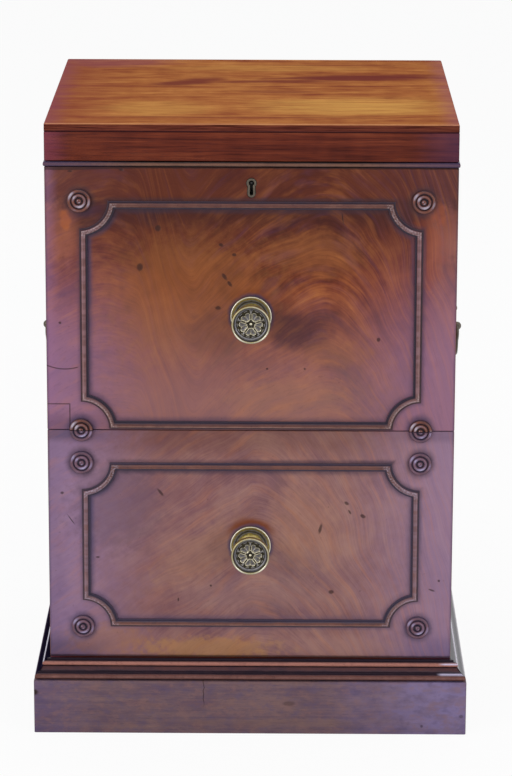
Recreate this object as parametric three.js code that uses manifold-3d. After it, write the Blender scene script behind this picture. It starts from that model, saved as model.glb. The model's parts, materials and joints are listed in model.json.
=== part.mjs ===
// A mahogany cellarette: a case whose hinged lid covers a lined compartment for nine bottles, with a deep
// drawer below. Lengths are in millimetres, X runs to the right, Y to the back and Z up. The origin is on
// the floor, in the middle of the object's outer box.

import * as THREE from 'three';
import { mergeVertices } from 'three/addons/utils/BufferGeometryUtils.js';
import Module from 'manifold-3d';

const wasm = await Module();
wasm.setup();

// Case
const caseWidth = 457;
const caseDepth = 410;
const lowerFrontHeight = 271;
const upperFrontHeight = 301.5;
const frontThick = 22;
const sideThick = 19;
const backThick = 12;
const floorThick = 16;
const bottomThick = 18;

// Plinth and base moulding
const plinthHeight = 63;
const plinthStep = 18;
const plinthThick = 30;
const baseMouldingHeight = 22;
const baseMouldingInset = 0.8;
const baseTorusRadius = 3.4;
const baseQuirk = 0.8;
const baseFilletHeight = 1.4;
const baseFilletSet = 0.5;
const baseCoveRadius = 4.8;
const baseBeadRadius = 2.7;
const baseBeadSet = 5.6;
const baseTopFilletReach = 3.4;

// Lid
const lidHeight = 48.4;
const lidBoardThick = 9.6;
const lidBoardRounding = 2;
const lidRailThick = 22;
const lidBeadHeight = 5.2;
const lidBeadReach = 1.5;
const lidBeadRebate = 6;
const lidQuirk = 1.1;

// Panel mouldings and roundels
const panelInset = 38;
const panelMouldingWidth = 9;
const panelMouldingHeight = 4.2;
const panelFilletWidth = 1.5;
const panelFilletHeight = 1.3;
const panelQuirk = 0.5;
const panelCornerRadius = 31.5;
const upperPanelFoot = 1.6;
const roundelRadius = 13.2;
const roundelRimHeight = 1.1;
const roundelRingWidth = 4.2;
const roundelRingHeight = 3.6;
const roundelGroove = 0.6;
const roundelDomeWidth = 4.1;
const roundelDomeHeight = 4.4;
const roundelBossRadius = 2.9;
const roundelBossHeight = 4.6;

// Knobs
const knobPlateRadius = 23;
const knobPlateThick = 3.2;
const knobPlateRim = 1.8;
const knobPlateDish = 1.1;
const knobNeckRadius = 7;
const knobNeckPlace = 11;
const knobFaceRadius = 21.5;
const knobFaceEdge = 6.5;
const knobFaceRim = 2.2;
const knobFaceRecess = 3;
const knobLength = 40;

// Lock, keyhole and staple
const lockWidth = 60;
const lockHeight = 42;
const lockDepth = 15;
const lockWall = 1.5;
const boltLength = 24;
const boltThick = 3;
const boltNoseLength = 14;
const boltBlockHeight = 10;
const boltDrop = 9;
const boltRestGap = 2;
const stapleThick = 3;
const stapleWidth = 8;
const stapleEye = 4;
const stapleRim = 2.2;
const stapleSlotGap = 1.2;
const staplePlateLength = 46;
const staplePlateWidth = 12;
const staplePlateThick = 2;
const keyholeDrop = 23.5;
const keyholeLobeRadius = 3.1;
const keyholeTailRadius = 2;
const keyholeWaist = 1.7;
const keyholeTailDrop = 11.9;
const escutcheonRim = 2.4;
const escutcheonDepth = 5;
const escutcheonProud = 0.4;
const drillPinRadius = 1.2;
const drillPinSetback = 1.5;

// Hinges
const hingeLength = 60;
const hingeEndInset = 58.5;
const hingeLeafWidth = 11;
const hingeLeafThick = 1.6;
const hingeBarrelRadius = 3.2;
const hingeBarrelOffset = 3.6;
const hingeBoreRadius = 1.6;
const hingePinRadius = 1.3;

// Side handles
const handleHeight = 436;
const handleSpan = 84;
const handlePivotReach = 10;
const handleRoseRadius = 10;
const handleRoseThick = 2;
const handleNeckRadius = 3.2;
const handleHeadRadius = 5;
const bailBarRadius = 2;
const bailDrop = 40;
const bailOverhang = 11;
const bailBend = 5;
const bailStubEnd = 0.5;

// Bottle compartment
const liningThick = 1.6;
const liningDrop = 4;
const dividerThick = 9;
const dividerHeight = 190;
const dividerRows = 3;
const dividerSlotGap = 0.4;

// Drawer
const drawerSideThick = 11;
const drawerBackThick = 11;
const drawerBottomThick = 7;
const drawerBottomRise = 7;
const drawerGrooveDepth = 4;
const drawerBackSpace = 14;
const drawerTopSpace = 4;
const drawerBackDrop = 6;

// Clearances
const seatGap = 0.3;
const lidJoint = 0.7;
const drawerFrontGap = 1;
const drawerSideGap = 1.2;
const cutOverrun = 6;
const weldDistance = 0.0001;

// Faces round the curved forms
const roundSides = 18;
const knobSides = 26;
const smallSides = 12;
const barSides = 10;
const barSteps = 40;
const arcSteps = 5;
const cornerSteps = 8;
const quarterTurn = Math.PI / 2;

// Finishes
const woodRoughness = 0.35;
const metalRoughness = 0.3;
const frontRed = 0x8f4a2e;
const caseBrown = 0x6f3b28;
const lidGold = 0xa5602c;
const plinthBrown = 0x63484a;
const innerWood = 0x9a6b44;
const brassTone = 0xa8925c;
const leadTone = 0x7d7f83;

// Levels above the floor
const baseTop = plinthHeight + baseMouldingHeight;
const stageJoint = baseTop + lowerFrontHeight;
const caseTop = stageJoint + upperFrontHeight;
const lidBottom = caseTop + lidJoint;
const lidTop = lidBottom + lidHeight;
const lidRailTop = lidTop - lidBoardThick - seatGap;
const drawerFrontLow = baseTop + drawerFrontGap;
const drawerFrontHigh = stageJoint - drawerFrontGap / 2;
const upperFrontLow = stageJoint + drawerFrontGap / 2;

// Planes across the width and the depth
const halfCase = caseWidth / 2;
const sideInner = halfCase - sideThick;
const hingePlace = halfCase - hingeEndInset - hingeLength / 2;
const knobReach = knobLength + seatGap;
const hingeReach = hingeBarrelOffset + hingeBarrelRadius;
const frontY = (knobReach - caseDepth - hingeReach) / 2;
const backY = frontY + caseDepth;
const middleY = (frontY + backY) / 2;
const frontInner = frontY + frontThick;
const backInner = backY - backThick;
const trimY = frontY - seatGap;

const part = new THREE.Group();
const caseGroup = new THREE.Group();
const lidGroup = new THREE.Group();
const drawerGroup = new THREE.Group();
part.add(caseGroup, lidGroup, drawerGroup);

function wood(color) {
  return new THREE.MeshStandardMaterial({ color, roughness: woodRoughness, metalness: 0 });
}

function metal(color) {
  return new THREE.MeshStandardMaterial({ color, roughness: metalRoughness, metalness: 1 });
}

function addPiece(group, name, geometry, material, place = [0, 0, 0]) {
  const mesh = new THREE.Mesh(geometry, material);
  mesh.name = name;
  mesh.position.set(...place);
  group.add(mesh);
}

// A block between two limits on each axis.
function block([left, right], [front, back], [low, high]) {
  const box = new THREE.BoxGeometry(right - left, back - front, high - low);
  return box.translate((left + right) / 2, (front + back) / 2, (low + high) / 2);
}

function asSolid(geometry) {
  const bare = geometry.clone();
  bare.deleteAttribute('normal');
  bare.deleteAttribute('uv');
  const welded = mergeVertices(bare, weldDistance);
  return new wasm.Manifold(new wasm.Mesh({
    numProp: 3,
    vertProperties: new Float32Array(welded.attributes.position.array),
    triVerts: new Uint32Array(welded.index.array),
  }));
}

function asGeometry(solid) {
  const mesh = solid.getMesh();
  const geometry = new THREE.BufferGeometry();
  geometry.setAttribute('position', new THREE.BufferAttribute(mesh.vertProperties, 3));
  geometry.setIndex(new THREE.BufferAttribute(mesh.triVerts, 1));
  geometry.computeVertexNormals();
  return geometry;
}

function join(...geometries) {
  return asGeometry(geometries.map(asSolid).reduce((sum, next) => sum.add(next)));
}

function cut(geometry, ...cutters) {
  return asGeometry(cutters.map(asSolid).reduce((rest, next) => rest.subtract(next), asSolid(geometry)));
}

// Points on an elliptic arc, its start included.
function arcPoints(centreX, centreY, radiusX, radiusY, from, to, steps = arcSteps) {
  const points = [];
  for (let step = 0; step <= steps; step += 1) {
    const angle = THREE.MathUtils.lerp(from, to, step / steps);
    points.push([centreX + radiusX * Math.cos(angle), centreY + radiusY * Math.sin(angle)]);
  }
  return points;
}

function volumeOf(points, faces) {
  let total = 0;
  for (const face of faces) {
    const [a, b, c] = face.map((index) => new THREE.Vector3(...points[index]));
    total += a.dot(b.cross(c));
  }
  return total;
}

// A closed body through rows of points, each row a closed loop. With a cap outline the first and the last
// row are closed by flat ends; without one the last row joins the first.
function loftBody(rows, capOutline = null) {
  const columns = rows[0].length;
  const points = rows.flat();
  const faces = [];
  const spans = capOutline ? rows.length - 1 : rows.length;
  for (let row = 0; row < spans; row += 1) {
    const here = row * columns;
    const next = ((row + 1) % rows.length) * columns;
    for (let column = 0; column < columns; column += 1) {
      const beside = (column + 1) % columns;
      faces.push([here + column, here + beside, next + beside]);
      faces.push([here + column, next + beside, next + column]);
    }
  }
  if (capOutline) {
    const outline = capOutline.map(([across, up]) => new THREE.Vector2(across, up));
    const last = (rows.length - 1) * columns;
    for (const [a, b, c] of THREE.ShapeUtils.triangulateShape(outline, [])) {
      faces.push([c, b, a]);
      faces.push([last + a, last + b, last + c]);
    }
  }
  if (volumeOf(points, faces) < 0) {
    faces.forEach((face) => face.reverse());
  }
  const geometry = new THREE.BufferGeometry();
  geometry.setAttribute('position', new THREE.Float32BufferAttribute(points.flat(), 3));
  geometry.setIndex(faces.flat());
  geometry.computeVertexNormals();
  return geometry;
}

// A section of outward and upward distances, run past corners that say where the outer face is and which
// way the mitre goes.
function mitredRun(section, corners) {
  const rows = corners.map(([x, y, mitreX, mitreY]) => (
    section.map(([out, up]) => [x + out * mitreX, y + out * mitreY, up])
  ));
  return loftBody(rows, section);
}

function frontRun(section, halfLength, y) {
  return mitredRun(section, [[-halfLength, y, -1, -1], [halfLength, y, 1, -1]]);
}

function backRun(section, halfLength, y) {
  return mitredRun(section, [[-halfLength, y, -1, 1], [halfLength, y, 1, 1]]);
}

function sideRun(section, side, x, [front, back], backMitre) {
  return mitredRun(section, [[side * x, front, side, -1], [side * x, back, side, backMitre]]);
}

// The run along the left side, the front and the right side in one piece.
function threeSideRun(section, x, [front, back]) {
  return mitredRun(section, [[-x, back, -1, 0], [-x, front, -1, -1], [x, front, 1, -1], [x, back, 1, 0]]);
}

function boardSection(thick, low, high) {
  return [[-thick, low], [0, low], [0, high], [-thick, high]];
}

function sideName(side) {
  return side < 0 ? 'left' : 'right';
}

// A turned form whose profile of radius and height rises from its seat towards the front.
function frontTurning(profile, sides) {
  const points = profile.map(([radius, height]) => new THREE.Vector2(radius, height));
  return new THREE.LatheGeometry(points, sides).rotateX(2 * quarterTurn);
}

function roundShape(radius, sides, hole = 0) {
  const loop = (loopRadius) => arcPoints(0, 0, loopRadius, loopRadius, 0, 4 * quarterTurn, sides)
    .slice(1)
    .map(([x, y]) => new THREE.Vector2(x, y));
  const shape = new THREE.Shape(loop(radius));
  if (hole > 0) {
    shape.holes.push(new THREE.Path(loop(hole)));
  }
  return shape;
}

// A round bar or tube along X between two limits.
function barAlongX(radius, [left, right], hole = 0) {
  const settings = { depth: right - left, bevelEnabled: false };
  const bar = new THREE.ExtrudeGeometry(roundShape(radius, smallSides, hole), settings);
  return bar.rotateY(quarterTurn).translate(left, 0, 0);
}

// Carcass boards
const betweenSides = [-sideInner + seatGap, sideInner - seatGap];
const betweenFaces = [frontInner + seatGap, backInner - seatGap];
const plinthSeat = plinthHeight + seatGap;

function carcassSide(side) {
  const inner = side * sideInner;
  const outer = side * halfCase;
  const across = [Math.min(inner, outer), Math.max(inner, outer)];
  return block(across, [frontInner + seatGap, backY], [plinthSeat, caseTop]);
}

for (const side of [-1, 1]) {
  addPiece(caseGroup, `case_side_${sideName(side)}`, carcassSide(side), wood(caseBrown));
}
addPiece(
  caseGroup,
  'bottom_rail',
  block([-halfCase, halfCase], [frontY, frontInner], [plinthSeat, baseTop]),
  wood(caseBrown),
);
addPiece(
  caseGroup,
  'carcass_bottom',
  block(betweenSides, betweenFaces, [baseTop - bottomThick, baseTop]),
  wood(innerWood),
);
addPiece(
  caseGroup,
  'compartment_floor',
  block(betweenSides, betweenFaces, [stageJoint - floorThick, stageJoint]),
  wood(innerWood),
);

// Hinges: the case leaf carries the outer knuckles and the pin, the lid leaf the middle knuckle
const hingeAxisY = backY + hingeBarrelOffset;
const hingeAxisZ = caseTop + lidJoint / 2;
const knuckleEnd = hingeLength / 6;
const leafFront = backY - hingeLeafWidth;
const caseLeafSpan = [caseTop - hingeLeafThick, caseTop];
const lidLeafSpan = [lidBottom, lidBottom + hingeLeafThick];

function hingeBarrel(radius, span, hole = 0) {
  return barAlongX(radius, span, hole).translate(0, hingeAxisY, hingeAxisZ);
}

function caseLeaf() {
  const half = hingeLength / 2;
  const inner = knuckleEnd + seatGap;
  const plate = block([-half, half], [leafFront, backY], caseLeafSpan);
  const pieces = [plate, hingeBarrel(hingePinRadius, [-half, half])];
  for (const [left, right] of [[-half, -inner], [inner, half]]) {
    pieces.push(block([left, right], [backY - hingeLeafThick, hingeAxisY], caseLeafSpan));
    pieces.push(hingeBarrel(hingeBarrelRadius, [left, right]));
  }
  return join(...pieces);
}

function lidLeaf() {
  const half = hingeLength / 2;
  const middle = [-knuckleEnd, knuckleEnd];
  const tabEnd = hingeAxisY - (hingeBarrelRadius + hingeBoreRadius) / 2;
  return join(
    block([-half, half], [leafFront, backY], lidLeafSpan),
    block(middle, [backY - hingeLeafThick, tabEnd], lidLeafSpan),
    hingeBarrel(hingeBarrelRadius, middle, hingeBoreRadius),
  );
}

// The recesses for both hinges' leaves, between two levels.
function leafRecesses([low, high]) {
  const half = hingeLength / 2 + seatGap;
  return [-hingePlace, hingePlace].map((place) => (
    block([place - half, place + half], [leafFront - seatGap, backY + cutOverrun], [low, high])
  ));
}

const caseRecess = [caseTop - hingeLeafThick - seatGap, caseTop + cutOverrun];
const lidRecess = [lidBottom - cutOverrun, lidBottom + hingeLeafThick + seatGap];
const backBoard = block(betweenSides, [backInner, backY], [plinthSeat, caseTop]);
addPiece(caseGroup, 'back_panel', cut(backBoard, ...leafRecesses(caseRecess)), wood(innerWood));
for (const side of [-1, 1]) {
  const place = [side * hingePlace, 0, 0];
  addPiece(caseGroup, `hinge_case_leaf_${sideName(side)}`, caseLeaf(), metal(brassTone), place);
  addPiece(lidGroup, `hinge_lid_leaf_${sideName(side)}`, lidLeaf(), metal(brassTone), place);
}

// Keyhole: a round lobe over a narrower tail, grown by an equal rim all round
const keyholeZ = caseTop - keyholeDrop + keyholeTailDrop / 2;

function keyholeOutline(rim) {
  const lobe = keyholeLobeRadius + rim;
  const tail = keyholeTailRadius + rim;
  const turn = Math.acos((keyholeWaist + rim) / lobe);
  return [
    ...arcPoints(0, 0, lobe, lobe, -turn, 2 * quarterTurn + turn, 2 * arcSteps),
    ...arcPoints(0, -keyholeTailDrop, tail, tail, 2 * quarterTurn, 4 * quarterTurn),
  ].map(([x, z]) => new THREE.Vector2(x, z));
}

// A keyhole form that runs from one plane to another one behind it.
function keyholeForm(rim, [front, back], holeRim = null) {
  const shape = new THREE.Shape(keyholeOutline(rim));
  if (holeRim !== null) {
    shape.holes.push(new THREE.Path(keyholeOutline(holeRim)));
  }
  const form = new THREE.ExtrudeGeometry(shape, { depth: back - front, bevelEnabled: false });
  return form.rotateX(quarterTurn).translate(0, back, keyholeZ);
}

// Upper front with its lock mortise
const lockFront = frontInner - lockDepth;
const lockMiddleY = frontInner - lockDepth / 2;
const lockLow = caseTop - lockHeight;

function upperFront() {
  const halfMortise = lockWidth / 2 + seatGap;
  const board = block([-halfCase, halfCase], [frontY, frontInner], [upperFrontLow, caseTop]);
  const mortise = block(
    [-halfMortise, halfMortise],
    [lockFront - seatGap, frontInner + cutOverrun],
    [lockLow - seatGap, caseTop + cutOverrun],
  );
  const keyhole = keyholeForm(escutcheonRim + seatGap, [frontY - cutOverrun, lockFront + seatGap]);
  return cut(board, mortise, keyhole);
}

addPiece(caseGroup, 'upper_front', upperFront(), wood(frontRed));
addPiece(
  caseGroup,
  'escutcheon',
  keyholeForm(escutcheonRim, [frontY - escutcheonProud, frontY + escutcheonDepth], 0),
  metal(brassTone),
);

// Lock case: a box open at its keyhole and at the slot for the staple, with a drill pin for the key
function lockCase() {
  const half = lockWidth / 2;
  const slotHalf = stapleThick / 2 + stapleSlotGap;
  const slotDepth = stapleWidth / 2 + stapleSlotGap;
  const shell = cut(
    block([-half, half], [lockFront, frontInner], [lockLow, caseTop]),
    block(
      [-half + lockWall, half - lockWall],
      [lockFront + lockWall, frontInner - lockWall],
      [lockLow + lockWall, caseTop - lockWall],
    ),
    block(
      [-slotHalf, slotHalf],
      [lockMiddleY - slotDepth, lockMiddleY + slotDepth],
      [caseTop - 2 * lockWall, caseTop + cutOverrun],
    ),
    keyholeForm(0, [lockFront - cutOverrun, lockFront + 2 * lockWall]),
  );
  const pinFront = frontY + drillPinSetback;
  const pinLength = frontInner - lockWall / 2 - pinFront;
  const pin = new THREE.CylinderGeometry(drillPinRadius, drillPinRadius, pinLength, smallSides);
  return join(shell, pin.translate(0, pinFront + pinLength / 2, keyholeZ));
}

addPiece(caseGroup, 'lock_case', lockCase(), metal(brassTone));

// Bolt: a block that fills the lock's depth, with a nose that slides into the staple's eye
const boltZ = caseTop - boltDrop;

function lockBolt() {
  const tip = stapleThick / 2 + boltRestGap;
  const reach = (lockDepth / 2) - lockWall - seatGap;
  const noseHalf = boltThick / 2;
  const blockHalf = boltBlockHeight / 2;
  const noseSpan = [-noseHalf, noseHalf];
  return join(
    block([tip, tip + boltNoseLength + noseHalf], noseSpan, noseSpan),
    block([tip + boltNoseLength, tip + boltLength], [-reach, reach], [-blockHalf, blockHalf]),
  );
}

addPiece(caseGroup, 'lock_bolt', lockBolt(), metal(brassTone), [0, lockMiddleY, boltZ]);

// Staple plate: it is let into the lid's front rail and its eye hangs down into the lock
const eyeHalf = stapleEye / 2;
const staplePlateSpan = [lidBottom, lidBottom + staplePlateThick];

function staplePlate() {
  const half = staplePlateLength / 2;
  const plateHalf = staplePlateWidth / 2;
  const thickHalf = stapleThick / 2;
  const widthHalf = stapleWidth / 2;
  const plate = block([-half, half], [lockMiddleY - plateHalf, lockMiddleY + plateHalf], staplePlateSpan);
  const tab = block(
    [-thickHalf, thickHalf],
    [lockMiddleY - widthHalf, lockMiddleY + widthHalf],
    [boltZ - eyeHalf - stapleRim, lidBottom + staplePlateThick / 2],
  );
  const eye = block(
    [-cutOverrun, cutOverrun],
    [lockMiddleY - eyeHalf, lockMiddleY + eyeHalf],
    [boltZ - eyeHalf, boltZ + eyeHalf],
  );
  return cut(join(plate, tab), eye);
}

addPiece(lidGroup, 'staple_plate', staplePlate(), metal(brassTone));

// Lid frame: four mitred rails, rebated for the bead, under a top board with rounded upper edges
const railSection = boardSection(lidRailThick, lidBottom, lidRailTop);
const mitrePull = seatGap / 2;
const beadRebate = threeSideRun(
  [
    [-lidBeadRebate, lidBottom - cutOverrun],
    [cutOverrun, lidBottom - cutOverrun],
    [cutOverrun, lidBottom + lidBeadHeight + lidQuirk],
    [-lidBeadRebate, lidBottom + lidBeadHeight + lidQuirk],
  ],
  halfCase,
  [frontY, backY + cutOverrun],
);
const stapleRecess = block(
  [-staplePlateLength / 2 - seatGap, staplePlateLength / 2 + seatGap],
  [lockMiddleY - staplePlateWidth / 2 - seatGap, lockMiddleY + staplePlateWidth / 2 + seatGap],
  [lidBottom - cutOverrun, lidBottom + staplePlateThick + seatGap],
);
const frontRail = frontRun(railSection, halfCase - mitrePull, frontY);
const backRail = backRun(railSection, halfCase - mitrePull, backY);
addPiece(lidGroup, 'lid_rail_front', cut(frontRail, beadRebate, stapleRecess), wood(frontRed));
addPiece(lidGroup, 'lid_rail_back', cut(backRail, beadRebate, ...leafRecesses(lidRecess)), wood(caseBrown));
for (const side of [-1, 1]) {
  const rail = sideRun(railSection, side, halfCase, [frontY + mitrePull, backY - mitrePull], 1);
  addPiece(lidGroup, `lid_rail_${sideName(side)}`, cut(rail, beadRebate), wood(caseBrown));
}

function lidBead() {
  const seat = seatGap - lidBeadRebate;
  const round = lidBeadHeight / 2;
  const nose = arcPoints(0, lidBottom + round, lidBeadReach, round, -quarterTurn, quarterTurn);
  const section = [[seat, lidBottom], ...nose, [seat, lidBottom + lidBeadHeight]];
  return threeSideRun(section, halfCase, [frontY, backY]);
}

addPiece(lidGroup, 'lid_bead', lidBead(), wood(frontRed));

function lidBoard() {
  const levels = [[0, lidTop - lidBoardThick]];
  for (const [inset, rise] of arcPoints(0, 0, 1, 1, 0, quarterTurn)) {
    levels.push([lidBoardRounding * (1 - inset), lidTop - lidBoardRounding * (1 - rise)]);
  }
  const rows = levels.map(([inset, level]) => [
    [-halfCase + inset, frontY + inset, level],
    [halfCase - inset, frontY + inset, level],
    [halfCase - inset, backY - inset, level],
    [-halfCase + inset, backY - inset, level],
  ]);
  return loftBody(rows, rows[0]);
}

addPiece(lidGroup, 'lid_board', lidBoard(), wood(lidGold));

// Plinth
const plinthOuter = halfCase + plinthStep;
const plinthFront = frontY - plinthStep;
const plinthSection = boardSection(plinthThick, 0, plinthHeight);
const plinthInner = plinthOuter - plinthThick - seatGap;
addPiece(
  caseGroup,
  'plinth_front',
  frontRun(plinthSection, plinthOuter - mitrePull, plinthFront),
  wood(plinthBrown),
);
addPiece(
  caseGroup,
  'plinth_back',
  block([-plinthInner, plinthInner], [backY - plinthThick, backY], [0, plinthHeight]),
  wood(plinthBrown),
);
for (const side of [-1, 1]) {
  const run = sideRun(plinthSection, side, plinthOuter, [plinthFront + mitrePull, backY], 0);
  addPiece(caseGroup, `plinth_${sideName(side)}`, run, wood(plinthBrown));
}

// Base moulding: quirk, torus, fillet, cove, bead and top fillet, from the plinth up
function baseSection() {
  const low = plinthSeat;
  const reach = plinthStep - baseMouldingInset - seatGap;
  const torusOut = reach - baseTorusRadius;
  const torusUp = low + baseQuirk + baseTorusRadius;
  const filletOut = torusOut - baseFilletSet;
  const coveTop = torusUp + baseTorusRadius + baseFilletHeight + baseCoveRadius;
  const beadUp = coveTop + baseFilletSet + baseBeadRadius;
  return [
    [0, low],
    [torusOut, low],
    ...arcPoints(torusOut, torusUp, baseTorusRadius, baseTorusRadius, -quarterTurn, quarterTurn),
    [filletOut, torusUp + baseTorusRadius],
    ...arcPoints(filletOut, coveTop, baseCoveRadius, baseCoveRadius, -quarterTurn, -2 * quarterTurn),
    [baseBeadSet, coveTop],
    ...arcPoints(baseBeadSet, beadUp, baseBeadRadius, baseBeadRadius, -quarterTurn, quarterTurn),
    [baseTopFilletReach, beadUp + baseBeadRadius],
    [baseTopFilletReach, baseTop],
    [0, baseTop],
  ];
}

const mouldingX = halfCase + seatGap;
addPiece(
  caseGroup,
  'base_moulding_front',
  frontRun(baseSection(), mouldingX - mitrePull, trimY),
  wood(caseBrown),
);
for (const side of [-1, 1]) {
  const run = sideRun(baseSection(), side, mouldingX, [trimY + mitrePull, backY], 0);
  addPiece(caseGroup, `base_moulding_${sideName(side)}`, run, wood(caseBrown));
}

// Panel mouldings: an astragal between two fillets, round a field whose corners are cut by quadrants
const panelHalfWidth = halfCase - panelInset;
const upperPanelLow = stageJoint + upperPanelFoot;
const upperPanelHigh = caseTop - panelInset;
const lowerPanelLow = baseTop + panelInset;
const lowerPanelHigh = stageJoint - panelInset;

function astragalSection() {
  const middle = panelMouldingWidth / 2;
  const foot = panelFilletHeight - panelQuirk;
  const round = arcPoints(
    middle,
    foot,
    middle - panelFilletWidth,
    panelMouldingHeight - foot,
    2 * quarterTurn,
    0,
    2 * arcSteps,
  );
  return [
    [0, 0],
    [0, panelFilletHeight],
    [panelFilletWidth, panelFilletHeight],
    ...round,
    [panelMouldingWidth - panelFilletWidth, panelFilletHeight],
    [panelMouldingWidth, panelFilletHeight],
    [panelMouldingWidth, 0],
  ];
}

// The moulding's outline at one inset from its outer edge. Every quadrant is centred on the outer corner.
function panelOutline([low, high], inset) {
  const radius = panelCornerRadius + inset;
  const start = Math.asin(inset / radius);
  const corners = [
    [panelHalfWidth, high],
    [-panelHalfWidth, high],
    [-panelHalfWidth, low],
    [panelHalfWidth, low],
  ];
  return corners.flatMap(([cornerX, cornerZ], turn) => {
    const zero = (turn - 1) * quarterTurn;
    const from = zero - start;
    const to = zero - quarterTurn + start;
    return arcPoints(cornerX, cornerZ, radius, radius, from, to, cornerSteps);
  });
}

function panelMoulding(span) {
  const rows = astragalSection().map(([inset, height]) => (
    panelOutline(span, inset).map(([x, z]) => [x, trimY - height, z])
  ));
  return loftBody(rows);
}

addPiece(caseGroup, 'upper_panel_moulding', panelMoulding([upperPanelLow, upperPanelHigh]), wood(frontRed));
addPiece(
  drawerGroup,
  'lower_panel_moulding',
  panelMoulding([lowerPanelLow, lowerPanelHigh]),
  wood(frontRed),
);

// Roundels: an outer ring, a groove, a raised inner ring and a centre boss
function roundelProfile() {
  const ringOuter = roundelRadius;
  const ringMiddle = ringOuter - roundelRingWidth / 2;
  const domeOuter = ringOuter - roundelRingWidth - roundelGroove;
  const domeMiddle = domeOuter - roundelDomeWidth / 2;
  const half = 2 * quarterTurn;
  const ring = arcPoints(
    ringMiddle,
    roundelRimHeight,
    roundelRingWidth / 2,
    roundelRingHeight - roundelRimHeight,
    0,
    half,
  );
  const dome = arcPoints(
    domeMiddle,
    roundelRimHeight,
    roundelDomeWidth / 2,
    roundelDomeHeight - roundelRimHeight,
    0,
    half,
  );
  return [
    [0, 0],
    [ringOuter, 0],
    ...ring,
    ...dome,
    [roundelBossRadius, roundelRimHeight],
    [roundelBossRadius, (roundelRimHeight + roundelBossHeight) / 2],
    [roundelBossRadius / 2, roundelBossHeight],
    [0, roundelBossHeight],
  ];
}

// One half of a roundel that the joint line crosses: side 1 keeps the upper half, side -1 the lower one.
function halfRoundel(side) {
  const reach = roundelRadius + cutOverrun;
  const edge = side * drawerFrontGap / 2;
  const away = -side * reach;
  const span = [Math.min(edge, away), Math.max(edge, away)];
  const cutter = block([-reach, reach], [-reach, reach], span);
  return cut(frontTurning(roundelProfile(), roundSides), cutter);
}

function roundelHeights() {
  return { top: upperPanelHigh, high: lowerPanelHigh, low: lowerPanelLow };
}

for (const side of [-1, 1]) {
  const x = side * panelHalfWidth;
  const name = sideName(side);
  for (const [level, z] of Object.entries(roundelHeights())) {
    const group = level === 'top' ? caseGroup : drawerGroup;
    const turned = frontTurning(roundelProfile(), roundSides);
    addPiece(group, `roundel_${level}_${name}`, turned, wood(frontRed), [x, trimY, z]);
  }
  const joint = [x, trimY, stageJoint];
  addPiece(caseGroup, `roundel_joint_upper_${name}`, halfRoundel(1), wood(frontRed), joint);
  addPiece(drawerGroup, `roundel_joint_lower_${name}`, halfRoundel(-1), wood(frontRed), joint);
}

// Knobs: a dished back plate, a neck that flares out, and a face disc with a raised rim
function knobProfile() {
  const plateFloor = knobPlateThick - knobPlateDish;
  const faceBack = knobLength - knobFaceEdge;
  const rimRound = knobFaceRim / 2;
  const flareOuter = knobFaceRadius - knobFaceRim;
  return [
    [0, 0],
    [knobPlateRadius, 0],
    [knobPlateRadius, knobPlateThick - knobPlateRim / 2],
    [knobPlateRadius - knobPlateRim / 2, knobPlateThick],
    [knobPlateRadius - knobPlateRim, knobPlateThick - knobPlateRim / 2],
    [knobPlateRadius - 2 * knobPlateRim, plateFloor],
    [(knobPlateRadius + knobNeckRadius) / 2, plateFloor],
    ...arcPoints(
      (knobPlateRadius + knobNeckRadius) / 2,
      knobNeckPlace,
      (knobPlateRadius - knobNeckRadius) / 2,
      knobNeckPlace - plateFloor,
      -quarterTurn,
      -2 * quarterTurn,
    ).slice(1),
    ...arcPoints(
      flareOuter,
      knobNeckPlace,
      flareOuter - knobNeckRadius,
      faceBack - knobNeckPlace,
      2 * quarterTurn,
      quarterTurn,
    ).slice(1),
    [knobFaceRadius, faceBack],
    [knobFaceRadius, knobLength - rimRound],
    [knobFaceRadius - rimRound, knobLength],
    [knobFaceRadius - knobFaceRim, knobLength - rimRound],
    [knobFaceRadius - knobFaceRim - rimRound, knobLength - knobFaceRecess],
    [0, knobLength - knobFaceRecess],
  ];
}

const upperKnobZ = (upperPanelLow + upperPanelHigh) / 2;
const lowerKnobZ = (lowerPanelLow + lowerPanelHigh) / 2;
const knob = () => frontTurning(knobProfile(), knobSides);
addPiece(caseGroup, 'knob_upper', knob(), metal(brassTone), [0, trimY, upperKnobZ]);
addPiece(drawerGroup, 'knob_lower', knob(), metal(brassTone), [0, trimY, lowerKnobZ]);

// Side handles: round roses with ball heads, bored for the ends of a swan-neck bail
function postProfile() {
  const headLow = handlePivotReach - Math.sqrt(handleHeadRadius ** 2 - handleNeckRadius ** 2);
  const headTurn = Math.acos(handleNeckRadius / handleHeadRadius);
  return [
    [0, 0],
    [handleRoseRadius, 0],
    [handleRoseRadius, handleRoseThick / 2],
    [handleRoseRadius - handleRoseThick, handleRoseThick],
    [handleNeckRadius + handleRoseThick, handleRoseThick],
    [handleNeckRadius, 2 * handleRoseThick],
    [handleNeckRadius, headLow],
    ...arcPoints(
      0,
      handlePivotReach,
      handleHeadRadius,
      handleHeadRadius,
      -headTurn,
      quarterTurn,
      2 * arcSteps,
    ).slice(1, -1),
    [0, handlePivotReach + handleHeadRadius],
  ];
}

function handlePost(side) {
  const points = postProfile().map(([radius, height]) => new THREE.Vector2(radius, height));
  const post = new THREE.LatheGeometry(points, smallSides).rotateZ(-side * quarterTurn);
  const boreRadius = bailBarRadius + seatGap;
  const boreLength = 2 * handleHeadRadius + cutOverrun;
  const bore = new THREE.CylinderGeometry(boreRadius, boreRadius, boreLength, smallSides);
  return cut(post, bore.translate(side * handlePivotReach, 0, 0));
}

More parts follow.
